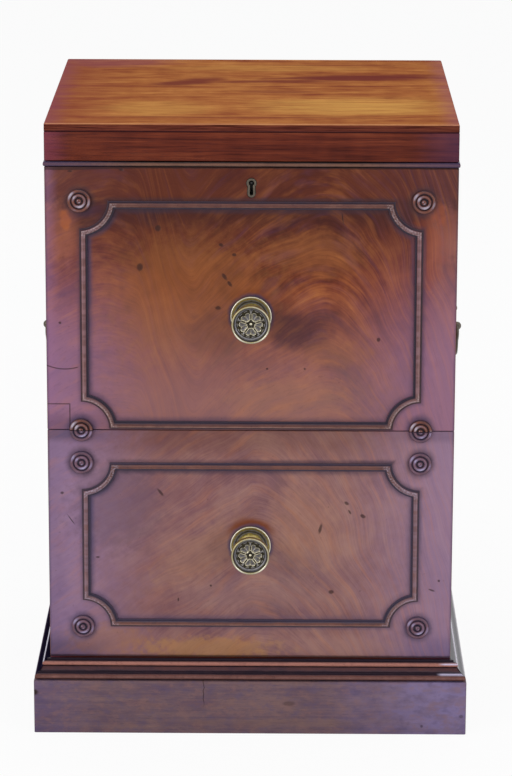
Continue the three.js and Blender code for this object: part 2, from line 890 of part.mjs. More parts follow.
// The bail's path runs from one head's bore out past it, down in two curves and along the grip.
function bailPath() {
  const outer = handleSpan / 2 + bailOverhang;
  const stub = handleSpan / 2 - handleHeadRadius - bailStubEnd;
  const bendShares = [[1, 0.32], [0.79, 0.36], [0.707, 0.614]];
  const gripShares = [[0.638, 0.818], [0.483, 1], [0.241, 1]];
  const at = (side, [across, down]) => new THREE.Vector3(0, side * outer * across, -bailDrop * down);
  const half = (side) => {
    const top = new THREE.Vector3(0, side * (outer - bailBend), 0);
    const turn = new THREE.Vector3(0, side * outer, 0);
    const below = new THREE.Vector3(0, side * outer, -bailBend);
    const bend = bendShares.map((share) => at(side, share));
    const grip = gripShares.map((share) => at(side, share));
    return { stub: new THREE.Vector3(0, side * stub, 0), top, turn, below, bend, grip };
  };
  const [near, far] = [half(-1), half(1)];
  const path = new THREE.CurvePath();
  path.add(new THREE.LineCurve3(near.stub, near.top));
  path.add(new THREE.QuadraticBezierCurve3(near.top, near.turn, near.below));
  path.add(new THREE.CubicBezierCurve3(near.below, ...near.bend));
  path.add(new THREE.CubicBezierCurve3(near.bend[2], ...near.grip));
  path.add(new THREE.LineCurve3(near.grip[2], far.grip[2]));
  path.add(new THREE.CubicBezierCurve3(far.grip[2], far.grip[1], far.grip[0], far.bend[2]));
  path.add(new THREE.CubicBezierCurve3(far.bend[2], far.bend[1], far.bend[0], far.below));
  path.add(new THREE.QuadraticBezierCurve3(far.below, far.turn, far.top));
  path.add(new THREE.LineCurve3(far.top, far.stub));
  return path;
}

function bail() {
  const settings = { steps: barSteps, extrudePath: bailPath(), bevelEnabled: false };
  return new THREE.ExtrudeGeometry(roundShape(bailBarRadius, barSides), settings);
}

for (const side of [-1, 1]) {
  const x = side * (halfCase + seatGap);
  const name = sideName(side);
  const posts = { front: middleY - handleSpan / 2, back: middleY + handleSpan / 2 };
  for (const [end, y] of Object.entries(posts)) {
    addPiece(caseGroup, `handle_post_${name}_${end}`, handlePost(side), metal(brassTone), [x, y, handleHeight]);
  }
  const pivot = [x + side * handlePivotReach, middleY, handleHeight];
  addPiece(part, `handle_bail_${name}`, bail(), metal(brassTone), pivot);
}

// Compartment lining: a sheet metal tray that is open at the top
const liningX = sideInner - seatGap;
const liningSpanY = [frontInner + seatGap, backInner - seatGap];
const liningLow = stageJoint + seatGap;
const liningInnerX = liningX - liningThick;
const liningInnerY = [liningSpanY[0] + liningThick, liningSpanY[1] - liningThick];
const liningFloor = liningLow + liningThick;

addPiece(
  caseGroup,
  'compartment_lining',
  cut(
    block([-liningX, liningX], liningSpanY, [liningLow, caseTop - liningDrop]),
    block([-liningInnerX, liningInnerX], liningInnerY, [liningFloor, caseTop + cutOverrun]),
  ),
  metal(leadTone),
);

// Divisions: long boards slotted from above and cross boards slotted from below, halved together
const dividerLow = liningFloor + seatGap;
const dividerHigh = dividerLow + dividerHeight;
const dividerSplit = (dividerLow + dividerHigh) / 2;

function dividerPlaces(low, high) {
  const cell = (high - low - (dividerRows - 1) * dividerThick) / dividerRows;
  const places = [];
  for (let row = 1; row < dividerRows; row += 1) {
    places.push(low + row * cell + (row - 1 / 2) * dividerThick);
  }
  return places;
}

const crossPlaces = dividerPlaces(-liningInnerX, liningInnerX);
const longPlaces = dividerPlaces(...liningInnerY);
const halfDivider = dividerThick / 2;
const halfSlot = halfDivider + dividerSlotGap;

longPlaces.forEach((y, index) => {
  const board = block(
    [-liningInnerX + seatGap, liningInnerX - seatGap],
    [y - halfDivider, y + halfDivider],
    [dividerLow, dividerHigh],
  );
  const slots = crossPlaces.map((x) => block(
    [x - halfSlot, x + halfSlot],
    [y - halfDivider - cutOverrun, y + halfDivider + cutOverrun],
    [dividerSplit - seatGap, dividerHigh + cutOverrun],
  ));
  addPiece(caseGroup, `divider_long_${index + 1}`, cut(board, ...slots), wood(innerWood));
});
crossPlaces.forEach((x, index) => {
  const board = block(
    [x - halfDivider, x + halfDivider],
    [liningInnerY[0] + seatGap, liningInnerY[1] - seatGap],
    [dividerLow, dividerHigh],
  );
  const slots = longPlaces.map((y) => block(
    [x - halfDivider - cutOverrun, x + halfDivider + cutOverrun],
    [y - halfSlot, y + halfSlot],
    [dividerLow - cutOverrun, dividerSplit],
  ));
  addPiece(caseGroup, `divider_cross_${index + 1}`, cut(board, ...slots), wood(innerWood));
});

// Drawer: its bottom sits in grooves in the front and the sides, and runs under the back
const drawerOuterX = sideInner - drawerSideGap;
const drawerInnerX = drawerOuterX - drawerSideThick;
const drawerLow = baseTop + seatGap;
const drawerHigh = stageJoint - floorThick - drawerTopSpace;
const drawerBackY = backInner - drawerBackSpace;
const bottomLow = drawerLow + drawerBottomRise;
const bottomHigh = bottomLow + drawerBottomThick;
const grooveSpan = [bottomLow - seatGap, bottomHigh + seatGap];
const grooveX = drawerInnerX + drawerGrooveDepth;
const grooveFront = frontInner - drawerGrooveDepth;

addPiece(
  drawerGroup,
  'drawer_front',
  cut(
    block([-halfCase, halfCase], [frontY, frontInner], [drawerFrontLow, drawerFrontHigh]),
    block([-grooveX, grooveX], [grooveFront, frontInner + cutOverrun], grooveSpan),
  ),
  wood(frontRed),
);
for (const side of [-1, 1]) {
  const across = side < 0 ? [-drawerOuterX, -drawerInnerX] : [drawerInnerX, drawerOuterX];
  const groove = side < 0 ? [-grooveX, cutOverrun - drawerInnerX] : [drawerInnerX - cutOverrun, grooveX];
  const board = block(across, [frontInner + seatGap, drawerBackY], [drawerLow, drawerHigh]);
  const slot = block(groove, [frontInner - cutOverrun, drawerBackY + cutOverrun], grooveSpan);
  addPiece(drawerGroup, `drawer_side_${sideName(side)}`, cut(board, slot), wood(innerWood));
}
addPiece(
  drawerGroup,
  'drawer_back',
  block(
    [-drawerInnerX + seatGap, drawerInnerX - seatGap],
    [drawerBackY - drawerBackThick, drawerBackY],
    [bottomHigh + seatGap, drawerHigh - drawerBackDrop],
  ),
  wood(innerWood),
);
addPiece(
  drawerGroup,
  'drawer_bottom',
  block(
    [-grooveX + seatGap, grooveX - seatGap],
    [grooveFront + seatGap, drawerBackY],
    [bottomLow, bottomHigh],
  ),
  wood(innerWood),
);

export default part;
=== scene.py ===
"""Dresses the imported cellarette: fine turned, moulded and bent pieces over its frame, old mahogany, aged
brass and a plain studio. Lengths are in millimetres until a mesh, a lamp or the camera is made."""

import json
import math
from functools import reduce

import bmesh
import bpy
from mathutils import Matrix, Vector

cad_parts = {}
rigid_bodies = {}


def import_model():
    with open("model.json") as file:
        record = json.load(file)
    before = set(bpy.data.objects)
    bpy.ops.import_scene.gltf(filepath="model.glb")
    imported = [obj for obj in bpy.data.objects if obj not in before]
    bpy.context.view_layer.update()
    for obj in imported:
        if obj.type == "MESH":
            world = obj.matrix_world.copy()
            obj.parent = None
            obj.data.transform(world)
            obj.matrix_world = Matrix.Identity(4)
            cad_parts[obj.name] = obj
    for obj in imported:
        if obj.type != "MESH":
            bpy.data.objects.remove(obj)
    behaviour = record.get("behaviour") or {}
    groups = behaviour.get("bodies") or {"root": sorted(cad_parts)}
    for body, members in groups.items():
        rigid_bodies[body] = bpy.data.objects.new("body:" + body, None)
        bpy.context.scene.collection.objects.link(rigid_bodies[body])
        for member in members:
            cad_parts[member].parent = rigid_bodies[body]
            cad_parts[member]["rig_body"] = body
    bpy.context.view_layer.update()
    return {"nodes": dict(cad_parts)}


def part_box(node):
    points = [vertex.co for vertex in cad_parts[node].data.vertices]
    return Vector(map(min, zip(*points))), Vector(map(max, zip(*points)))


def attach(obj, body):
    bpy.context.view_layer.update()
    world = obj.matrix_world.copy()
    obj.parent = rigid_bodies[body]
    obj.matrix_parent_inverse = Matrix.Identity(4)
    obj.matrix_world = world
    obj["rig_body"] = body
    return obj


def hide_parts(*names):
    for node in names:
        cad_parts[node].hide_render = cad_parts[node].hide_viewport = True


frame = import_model()

MM = 0.001
CREASE = math.radians(32)
QUARTER = math.pi / 2
FULL_TURN = 2 * math.pi

# Camera and frame of the photograph
FRAME_TALL = 776
CAMERA_PLACE = (27.3, -3601.5, 1373.5)
CAMERA_YAW = -0.37
CAMERA_PITCH = 13.59
CAMERA_ROLL = 0.17
CAMERA_RANGE = (0.05, 100)
FOCAL_PIXELS = 3167.3
RISE_PIXELS = -124
SENSOR = 36


def node_box(name):
    low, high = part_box(name)
    return low / MM, high / MM


def node_middle(name, axis):
    return sum(getattr(corner, axis) for corner in node_box(name)) / 2


# Planes and levels taken from the frame
FRONT_LOW, FRONT_HIGH = node_box("upper_front")
DRAWER_LOW, DRAWER_HIGH = node_box("drawer_front")
LID_LOW, LID_HIGH = node_box("lid_board")
HALF_CASE = FRONT_HIGH.x
FRONT_Y = FRONT_LOW.y
BACK_Y = LID_HIGH.y
CASE_TOP = FRONT_HIGH.z
LID_RAIL_LOW = node_box("lid_rail_front")[0].z
JOINT = (FRONT_LOW.z + DRAWER_HIGH.z) / 2
TRIM_Y = node_box("upper_panel_moulding")[1].y
PANEL_HALF = node_box("upper_panel_moulding")[1].x
UPPER_PANEL = tuple(corner.z for corner in node_box("upper_panel_moulding"))
LOWER_PANEL = tuple(corner.z for corner in node_box("lower_panel_moulding"))
UPPER_KNOB = node_middle("knob_upper", "z")
LOWER_KNOB = node_middle("knob_lower", "z")
KEYHOLE_Z = node_middle("escutcheon", "z")
BASE_LOW, BASE_HIGH = (corner.z for corner in node_box("base_moulding_front"))

# Sizes that the colours and the shapes share
PANEL_CORNER = 31.5
PANEL_MOULDING = 9.0
ROUNDEL_RADIUS = 13.2
KNOB_PLATE = 23.0


def tone(red, green, blue):
    """A colour written in display values from 0 to 255, as linear light."""
    linear = []
    for value in (red, green, blue):
        share = value / 255
        linear.append(share / 12.92 if share <= 0.04045 else ((share + 0.055) / 1.055) ** 2.4)
    return (*linear, 1.0)


# Node trees


def operation(kind, turned_round=False):
    """A method that reckons a field with other values, which come first when turned round."""

    def method(self, *others):
        values = (*others, self) if turned_round else (self, *others)
        return self.tree.maths(kind, *values)

    return method


class Field:
    """A value in a node tree that can be reckoned with."""

    __add__ = __radd__ = operation("ADD")
    __sub__ = operation("SUBTRACT")
    __rsub__ = operation("SUBTRACT", True)
    __mul__ = __rmul__ = operation("MULTIPLY")
    __truediv__ = operation("DIVIDE")
    __abs__ = operation("ABSOLUTE")
    most = operation("MAXIMUM")
    root = operation("SQRT")

    def __init__(self, tree, socket):
        self.tree = tree
        self.socket = socket

    def bell(self, width):
        """1 where the field is 0, falling away on both sides of it."""
        share = self / width
        return self.tree.maths("EXPONENT", share * share * -1)

    def step(self, low, high):
        """Runs smoothly from 0 at low to 1 at high."""
        settings = {"Value": self, "From Min": low, "From Max": high, "To Min": 0.0, "To Max": 1.0}
        node = self.tree.add("ShaderNodeMapRange", settings, interpolation_type="SMOOTHSTEP")
        return Field(self.tree, node.outputs["Result"])


def strongest(fields):
    return reduce(Field.most, fields)


class Tree:
    """The node tree of a material or of the world."""

    def __init__(self, owner):
        self.owner = owner
        owner.use_nodes = True
        self.made = owner.node_tree
        self.made.nodes.clear()

    def add(self, kind, inputs=(), **settings):
        node = self.made.nodes.new(kind)
        for key, value in settings.items():
            setattr(node, key, value)
        pairs = inputs.items() if isinstance(inputs, dict) else enumerate(inputs)
        for key, value in pairs:
            if isinstance(value, Field):
                value = value.socket
            if isinstance(value, bpy.types.NodeSocket):
                self.made.links.new(value, node.inputs[key])
            else:
                node.inputs[key].default_value = value
        return node

    def maths(self, kind, *values):
        return Field(self, self.add("ShaderNodeMath", values, operation=kind).outputs[0])

    def noise(self, x, y, z, detail=2.0, roughness=0.5):
        place = self.add("ShaderNodeCombineXYZ", (x, y, z)).outputs[0]
        settings = {"Vector": place, "Scale": 1.0, "Detail": detail, "Roughness": roughness}
        return Field(self, self.add("ShaderNodeTexNoise", settings).outputs["Fac"])

    def distance(self, across, up):
        return (across * across + up * up).root()

    def ramp(self, field, stops):
        """A colour that follows a field. Each stop has its place and a colour in display values."""
        node = self.add("ShaderNodeValToRGB", {"Fac": field})
        elements = node.color_ramp.elements
        while len(elements) < len(stops):
            elements.new(0.5)
        for element, (place, *colour) in zip(elements, stops):
            element.position = place
            element.color = tone(*colour)
        return node.outputs["Color"]

    def mix(self, share, first, second):
        node = self.add("ShaderNodeMix", {0: share, 6: first, 7: second}, data_type="RGBA")
        return node.outputs[2]

    def tint(self, colour, share, *display):
        """The colour under that share of another one, which is written in display values."""
        return self.mix(share, colour, tone(*display))

    def attribute(self, name):
        return Field(self, self.add("ShaderNodeAttribute", attribute_name=name).outputs["Fac"])

    def shown(self):
        """1 for the rays to which the studio shows as white, 0 for those that light the piece."""
        rays = self.add("ShaderNodeLightPath").outputs
        return strongest(Field(self, rays[f"Is {kind} Ray"]) for kind in ("Camera", "Glossy", "Transmission"))

    def close(self, kind, share, first, second):
        """Ends the tree in a mix of two shaders."""
        both = self.add("ShaderNodeMixShader", (share, first.outputs[0], second.outputs[0]))
        self.add(kind, {"Surface": both.outputs[0]})
        return self.owner


class Material(Tree):
    """A material's tree. x, y and z are the object's own coordinates in millimetres."""

    def __init__(self, name):
        super().__init__(bpy.data.materials.new(name))
        place = self.add("ShaderNodeTexCoord").outputs["Object"]
        scaled = self.add("ShaderNodeVectorMath", {"Vector": place, "Scale": 1 / MM}, operation="SCALE")
        parts = self.add("ShaderNodeSeparateXYZ", {"Vector": scaled.outputs["Vector"]}).outputs
        self.x, self.y, self.z = (Field(self, parts[axis]) for axis in "XYZ")

    def finish(self, colour, roughness, height, depth, gloss=0.5, metal=0.0):
        """Ends the tree in a surface, bumped by a height in shares of depth."""
        bump = self.add("ShaderNodeBump", {"Height": height, "Distance": depth * MM})
        values = {
            "Base Color": colour,
            "Roughness": roughness,
            "Specular IOR Level": gloss,
            "Metallic": metal,
            "Normal": bump.outputs["Normal"],
        }
        shader = self.add("ShaderNodeBsdfPrincipled", values)
        self.add("ShaderNodeOutputMaterial", {"Surface": shader.outputs["BSDF"]})
        return self.owner


# Straight-grained wood. Each stop of a ramp has its place and its red, green and blue
# A dark colour for grime in pores, lines and joints, and for painted shade in the keyhole
GRIME_AND_SHADE = (24, 18, 34)
# A dark colour for marks, dents and cracks, and for the painted shadow in the gaps along the fronts
MARK_AND_GAP_SHADE = (40, 20, 20)
SIDE_STOPS = ((0.36, 56, 24, 18), (0.47, 92, 46, 32), (0.55, 116, 64, 42), (0.68, 136, 82, 54))
LID_STOPS = ((0.36, 134, 68, 50), (0.45, 160, 93, 56), (0.52, 176, 109, 63), (0.58, 189, 123, 70),
             (0.68, 206, 144, 86))
LID_EDGE_STOPS = ((0.35, 56, 23, 20), (0.5, 97, 47, 37), (0.65, 118, 63, 47))
RAIL_STOPS = ((0.36, 60, 20, 14), (0.47, 90, 36, 24), (0.55, 106, 46, 29), (0.66, 122, 60, 38))
PLINTH_STOPS = ((0.36, 86, 68, 90), (0.45, 98, 76, 88), (0.53, 110, 86, 92), (0.66, 124, 96, 94))
PALE_STOPS = ((0.36, 120, 80, 48), (0.47, 152, 108, 68), (0.56, 172, 128, 84), (0.68, 188, 146, 100))


def grain(tree, along, across, depth, seed=0.0, fine=1.0, blotch_share=0.0, sway=14):
    """Straight grain of streaks, fine lines and a faint cross figure, with the pores kept apart. fine
    narrows the streaks, blotch_share is that of soft patches in their place and sway is how far the streaks
    wander."""
    drift = tree.noise(along * 0.006, across * 0.02 + seed, depth * 0.02, 1.0) * sway
    side = across + drift
    width = 0.07 * fine
    streaks = tree.noise(along * 0.0035 + seed, side * width, depth * width, 4.0, 0.62)
    lines = tree.noise(along * 0.02, side * 0.75 + seed, depth * 0.75, 2.0)
    mottle = tree.noise(along * 0.045, across * 0.02 + seed, depth * 0.02, 1.0)
    pores = tree.noise(along * 0.09, side * 2.2, depth * 2.2 + seed, 1.0).step(0.58, 0.72)
    figure = streaks * 0.6 + lines * 0.24 + mottle * 0.16
    if blotch_share:
        patches = tree.noise(along * 0.024, across * 0.06 + seed, depth * 0.06, 4.0, 0.6)
        figure = figure * (1 - blotch_share) + patches * blotch_share
    return figure, pores


def straight_wood(name, axis, stops, seed, roughness, gloss, haze=None, top=None, **figures):
    """A board of straight-grained timber. haze is a colour that lies over it in faint clouds, and top adds
    what is its own."""
    tree = Material(name)
    x, y, z = tree.x, tree.y, tree.z
    along, across, depth = {"X": (x, y, z), "Y": (y, x, z), "Z": (z, x, y)}[axis]
    figure, pores = grain(tree, along, across, depth, seed, **figures)
    colour = tree.tint(tree.ramp(figure, stops), pores * 0.3, *GRIME_AND_SHADE)
    if haze:
        clouds = tree.noise(x * 0.011, y * 0.011, z * 0.011 + seed, 3.0, 0.6).step(0.38, 0.72)
        colour = tree.tint(colour, clouds * 0.55, *haze)
    if top:
        colour = top(tree, colour)
    wear = tree.noise(x * 0.05, y * 0.05, z * 0.05 + seed, 2.0)
    return tree.finish(colour, wear * 0.25 + (roughness - 0.12), figure * 0.3 - pores * 0.5, 0.12, gloss)


def spot(tree, wobble, place_x, place_z, reach_x, reach_z, lean=0, ragged=1):
    """1 inside a ragged spot on the front, 0 outside it. lean turns it, in degrees from level."""
    turn = math.radians(lean)
    side = tree.x - place_x
    up = tree.z - place_z
    along = (side * math.cos(turn) + up * math.sin(turn)) / reach_x
    off = (up * math.cos(turn) - side * math.sin(turn)) / reach_z
    return (tree.distance(along, off) + wobble * ragged).step(1.15, 0.5)


# Fields on the lid: share, place across and in depth, reach across and in depth, and lean
LID_GOLD = ((1, 110, -85, 125, 62, 0), (0.6, -105, -100, 75, 50, 0), (0.5, 20, 160, 130, 26, 0))
LID_RED = (
    (1, 132, 98, 122, 22, 0.08),
    (0.8, 36, 72, 92, 10, 0.06),
    (0.9, -76, 66, 50, 24, 0.5),
    (0.5, 30, 4, 48, 12, 0),
    (0.35, -40, -150, 170, 7, 0),
    (0.4, 120, 182, 110, 6, 0),
)
LID_VIOLET = ((0.8, -176, 205, 96, 44, 0),)


def lid_fields(tree, wobble, rows):
    made = []
    for share, place_x, place_y, reach_x, reach_y, lean in rows:
        across = tree.x - place_x
        off = (tree.y - place_y - across * lean) / reach_y
        made.append((tree.distance(across / reach_x, off) + wobble * 0.8).step(1.2, 0.4) * share)
    return strongest(made)


def lid_top_detail(tree, colour):
    """Golden fields between redder ones, a dark streak and a knot, a painted violet sheen at the ends, and a
    light line on the arris, wear with a painted highlight, over a darker edge."""
    x, y, z = tree.x, tree.y, tree.z
    wobble = (tree.noise(x * 0.014, y * 0.045, 5.0, 4.0, 0.6) - 0.5) * 1.5
    threads = tree.noise(x * 0.012, y * 0.2, 8.0, 4.0, 0.6).step(0.3, 0.62) * 0.6 + 0.4
    colour = tree.tint(colour, lid_fields(tree, wobble, LID_GOLD) * threads * 0.7, 222, 168, 90)
    colour = tree.tint(colour, lid_fields(tree, wobble, LID_RED) * 0.9, 116, 54, 50)
    colour = tree.tint(colour, (x + wobble * 36).step(-130, -224) * 0.56, 142, 72, 58)
    # A painted violet sheen at both ends, joined at the back left by a violet field
    violet = (x + wobble * 20).step(-200, -231).most(lid_fields(tree, wobble, LID_VIOLET))
    colour = tree.tint(colour, violet * 0.56, 142, 78, 96)
    colour = tree.tint(colour, (x + wobble * 16).step(204, 229) * 0.5, 160, 100, 108)
    lines = tree.noise(x * 0.02, y * 0.5, z * 0.7, 4.0, 0.6)
    under_arris = z.step(LID_HIGH.z - 0.8, LID_HIGH.z - 2.2)
    colour = tree.mix(under_arris, colour, tree.ramp(lines, LID_EDGE_STOPS))
    rim = strongest((abs(x) - HALF_CASE, FRONT_Y - y, y - BACK_Y)).step(-1.5, -0.5)
    seam = (z + wobble * 0.9).step(LID_LOW.z + 1.9, LID_LOW.z + 0.5) * rim * (lines * 0.8 + 0.3)
    colour = tree.tint(colour, seam, *GRIME_AND_SHADE)
    # A light line along the front arris: wear with a painted highlight
    arris = (z - LID_HIGH.z + 0.7 + wobble * 0.3).bell(0.42) * y.step(FRONT_Y + 3, FRONT_Y + 1.4)
    return tree.tint(colour, arris * 0.6, 206, 152, 112)


# Dents in the plinth: share, place across and up, and reach across and up
PLINTH_DENTS = ((0.5, 241, 22, 3, 2.4), (0.6, 196, 10, 2.4, 2.4), (0.4, 44, 37, 7, 3), (1, -247, 49, 6, 4))


def plinth_detail(tree, colour):
    """A painted violet sheen at both ends, a browner middle, a drying crack down from the top edge and a few
    dents.
    """
    x, z = tree.x, tree.z
    wobble = (tree.noise(x * 0.03, 2.0, z * 0.05, 4.0, 0.6) - 0.5) * 1.6
    # A painted violet sheen towards both ends, stronger and paler on the right, broken up by this mottle
    bloom = tree.noise(x * 0.04, 6.0, z * 0.09, 4.0, 0.6).step(0.36, 0.6) * 0.4 + 0.6
    colour = tree.tint(colour, (x + wobble * 60).step(60, 244) * bloom * 0.74, 134, 120, 164)
    colour = tree.tint(colour, (x + wobble * 30).step(-160, -246) * bloom * 0.44, 88, 76, 122)
    warm = tree.noise(x * 0.03, 12.0, z * 0.07, 4.0, 0.62).step(0.46, 0.66)
    colour = tree.tint(colour, warm * x.step(150, -60) * 0.26, 128, 90, 78)
    speckle = tree.noise(x * 0.06, 21.0, z * 0.1, 4.0, 0.7)
    colour = tree.tint(colour, speckle.step(0.5, 0.66) * 0.36, 84, 72, 104)
    colour = tree.tint(colour, speckle.step(0.5, 0.36) * 0.3, 138, 100, 92)
    streak = (tree.distance((x - 20) / 180, (z - 14) / 5) + wobble).step(1.1, 0.3)
    colour = tree.tint(colour, streak * 0.25, 132, 100, 84)
    wander = (tree.noise(2.0, 3.0, z * 0.15, 2.0) - 0.5) * 4
    crack = abs(x + 53 + wander).step(0.8, 0.15) * z.step(28, 44) * 0.8
    dents = [spot(tree, wobble, *place) * share for share, *place in PLINTH_DENTS]
    return tree.tint(colour, strongest((crack, *dents)), *MARK_AND_GAP_SHADE)


def rail_detail(tree, colour):
    """A redder left end, a violet-maroon right end and a few thin dark lines."""
    x, z = tree.x, tree.z
    wobble = tree.noise(x * 0.02, 3.0, z * 0.3, 3.0) - 0.5
    colour = tree.tint(colour, (x + wobble * 30).step(-196, -229) * 0.5, 128, 60, 84)
    colour = tree.tint(colour, (x + wobble * 30).step(170, 229) * 0.5, 82, 50, 80)
    lines = tree.noise(x * 0.012, 8.0, z * 0.55, 3.0, 0.6).step(0.58, 0.7)
    return tree.tint(colour, lines * 0.5, 48, 18, 22)


# Name, axis of the grain, stops, seed, roughness and gloss
lid_top = straight_wood(
    "lid_top_mahogany", "X", LID_STOPS, 2.0, 0.5, 0.0, top=lid_top_detail, fine=1.5, blotch_share=0.3, sway=46
)
lid_front = straight_wood("lid_rail_mahogany", "X", RAIL_STOPS, 7.0, 0.45, 0.1, top=rail_detail, fine=2.6)
lid_side = straight_wood("lid_side_mahogany", "Y", RAIL_STOPS, 11.0, 0.4, 0.25, fine=2.0)
case_side = straight_wood("case_side_mahogany", "Z", SIDE_STOPS, 5.0, 0.4, 0.3, (104, 62, 60))
plinth_x = straight_wood(
    "plinth_mahogany_x", "X", PLINTH_STOPS, 3.0, 0.5, 0.2, top=plinth_detail, fine=2.0, blotch_share=0.4
)
plinth_y = straight_wood(
    "plinth_mahogany_y", "Y", PLINTH_STOPS, 6.0, 0.45, 0.2, (92, 70, 86), blotch_share=0.4
)
pale_x = straight_wood("secondary_wood_x", "X", PALE_STOPS, 1.0, 0.6, 0.2)
pale_y = straight_wood("secondary_wood_y", "Y", PALE_STOPS, 8.0, 0.6, 0.2)
pale_z = straight_wood("secondary_wood_z", "Z", PALE_STOPS, 13.0, 0.6, 0.2)

# Flamed fronts. Each wash has its share, its colour and the fades that limit it: a spot, or a smooth run
# up the front, across it or out to both ends, with its raggedness, two levels and sometimes a least value
UPPER_STOPS = ((0.38, 74, 28, 15), (0.46, 104, 44, 23), (0.51, 126, 60, 32), (0.57, 148, 80, 42),
               (0.66, 172, 104, 58))
LOWER_STOPS = ((0.38, 100, 66, 74), (0.46, 122, 82, 86), (0.51, 136, 95, 94), (0.57, 150, 109, 102),
               (0.66, 166, 124, 108))
UPPER_WASHES = (
    (0.65, (56, 13, 9), ("up", 30, 505, 610)),
    # Grime and painted shade in a band along the panel's top run
    (0.42, (40, 12, 12), ("up", 12, 580, 606), ("up", 0, 628, 618)),
    (0.54, (158, 118, 122), ("up", 30, 540, 372)),
    (0.5, (158, 90, 66), ("ends", 0, 186, 204), ("spot", 0, 585, 460, 42)),
    # These two washes paint a violet sheen at both ends and along the left edge
    (0.76, (146, 106, 142), ("ends", 64, 95, 232), ("up", 40, 590, 425, 0.0526)),
    (0.4, (150, 104, 140), ("across", 6, -212, -227)),
    (0.17, (178, 126, 120), ("across", 20, 188, 212), ("up", 0, 604, 570)),
    (0.16, (176, 122, 62), ("spot", -70, 510, 120, 84)),
    (0.14, (176, 118, 66), ("spot", 70, 560, 70, 30)),
    (0.22, (186, 128, 84), ("spot", 38, 390, 84, 30)),
    (0.56, (52, 24, 42), ("spot", 53, 471, 42, 25, -4, 0.6)),
    (0.3, (158, 100, 66), ("spot", 96, 446, 46, 18)),
    (0.36, (46, 22, 34), ("spot", -112, 603, 12, 16, 0, 1.4)),
    (0.3, (142, 60, 28), ("spot", 196, 560, 22, 46, 0, 1.6)),
    (0.3, (72, 38, 52), ("spot", -44, 468, 34, 30)),
    (0.4, (60, 40, 60), ("across", 0, -120, -205), ("up", 10, 384, 362)),
    (0.45, (176, 92, 36), ("spot", -206, 597, 7, 12, 0, 1.6)),
    (0.3, (166, 80, 38), ("spot", 207, 606, 9, 16, 0, 1.6)),
)
LOWER_WASHES = (
    (0.5, (96, 52, 38), ("up", 16, 312, 344)),
    # A painted violet sheen at both ends
    (0.66, (150, 124, 164), ("ends", 64, 92, 236)),
    (0.12, (186, 146, 132), ("across", 60, -60, 60)),
    (0.26, (160, 124, 118), ("spot", 0, 162, 90, 26)),
    (0.24, (84, 66, 100), ("across", 14, -196, -224)),
    (0.6, (62, 50, 78), ("up", 4, 339, 349), ("across", 0, -140, -196)),
    (0.32, (62, 50, 78), ("up", 4, 339, 349), ("across", 0, 140, 196)),
    (0.4, (88, 70, 92), ("spot", -150, 268, 60, 64)),
    (0.14, (104, 88, 108), ("spot", 62, 196, 50, 26)),
    (0.26, (186, 138, 104), ("spot", -48, 215, 76, 30, 32)),
    (0.28, (184, 134, 104), ("spot", 62, 240, 44, 64, 12)),
    (0.54, (182, 132, 78), ("spot", -44, 97, 88, 15, 0, 1.7)),
    (0.36, (166, 124, 116), ("spot", 104, 98, 76, 16)),
    (0.44, (166, 114, 80), ("spot", -162, 106, 52, 22, 0, 1.6)),
    (0.56, (54, 44, 72), ("up", 8, 122, 96), ("across", 0, -136, -206)),
    (0.5, (96, 84, 126), ("up", 8, 122, 96), ("across", 0, 146, 206)),
)
# Marks: place across and up, reach across and up, and lean
UPPER_MARKS = (
    (-123.5, 544, 5, 4.2, 60), (-103.4, 588.6, 3.6, 4.2), (-33.6, 570, 3.4, 2.4, -30),
    (-18.9, 558.6, 2.8, 2.2), (-29.5, 533.5, 2.2, 5.4, 32), (-24, 525.5, 2, 4.6, 35),
    (-36.5, 498, 3.6, 2.8), (-199.9, 652.8, 3, 1.2), (-144.1, 655.2, 3.2, 2.2, -20),
    (-216, 655.6, 13, 1.1, 4), (-42, 656.6, 3, 1), (18, 428, 1.3, 1.3), (60, 428, 1.3, 1.3),
    (142, 462, 2.2, 2.8), (-213, 480, 1.6, 1.6), (101, 600, 0.7, 7, 8),
)
LOWER_MARKS = (
    (-102.1, 283.1, 1.9, 6.4, 38), (108.4, 271, 3.2, 2.2, -30), (112, 260.4, 1.2, 3.2, 30),
    (126.9, 255.6, 3.4, 2.2, -30), (79, 240.7, 2, 6.6, -14), (-173.1, 205.5, 2.6, 1.2),
    (-212.8, 281.7, 2.2, 1.8), (205.9, 167.7, 4, 1.2, -20), (214, 179, 1.5, 1.5),
    (-203, 250, 0.8, 8, 35), (92, 165, 3.4, 2.7), (-82, 155, 1, 2.6), (-45, 172, 1.5, 1.5),
)
# Tints that follow the figure: its scale across and up, shift of the seed, detail, levels, share and colour
FIGURE_TINTS = (
    (0.024, 0.075, 11, 3.0, 0.46, 0.72, 0.32, (206, 126, 66)),
    (0.022, 0.06, 17, 3.0, 0.47, 0.72, 0.26, (84, 66, 112)),
    (0.12, 0.3, 23, 2.0, 0.54, 0.7, 0.24, (64, 20, 20)),
)
FIGURE_MEAN = 0.51


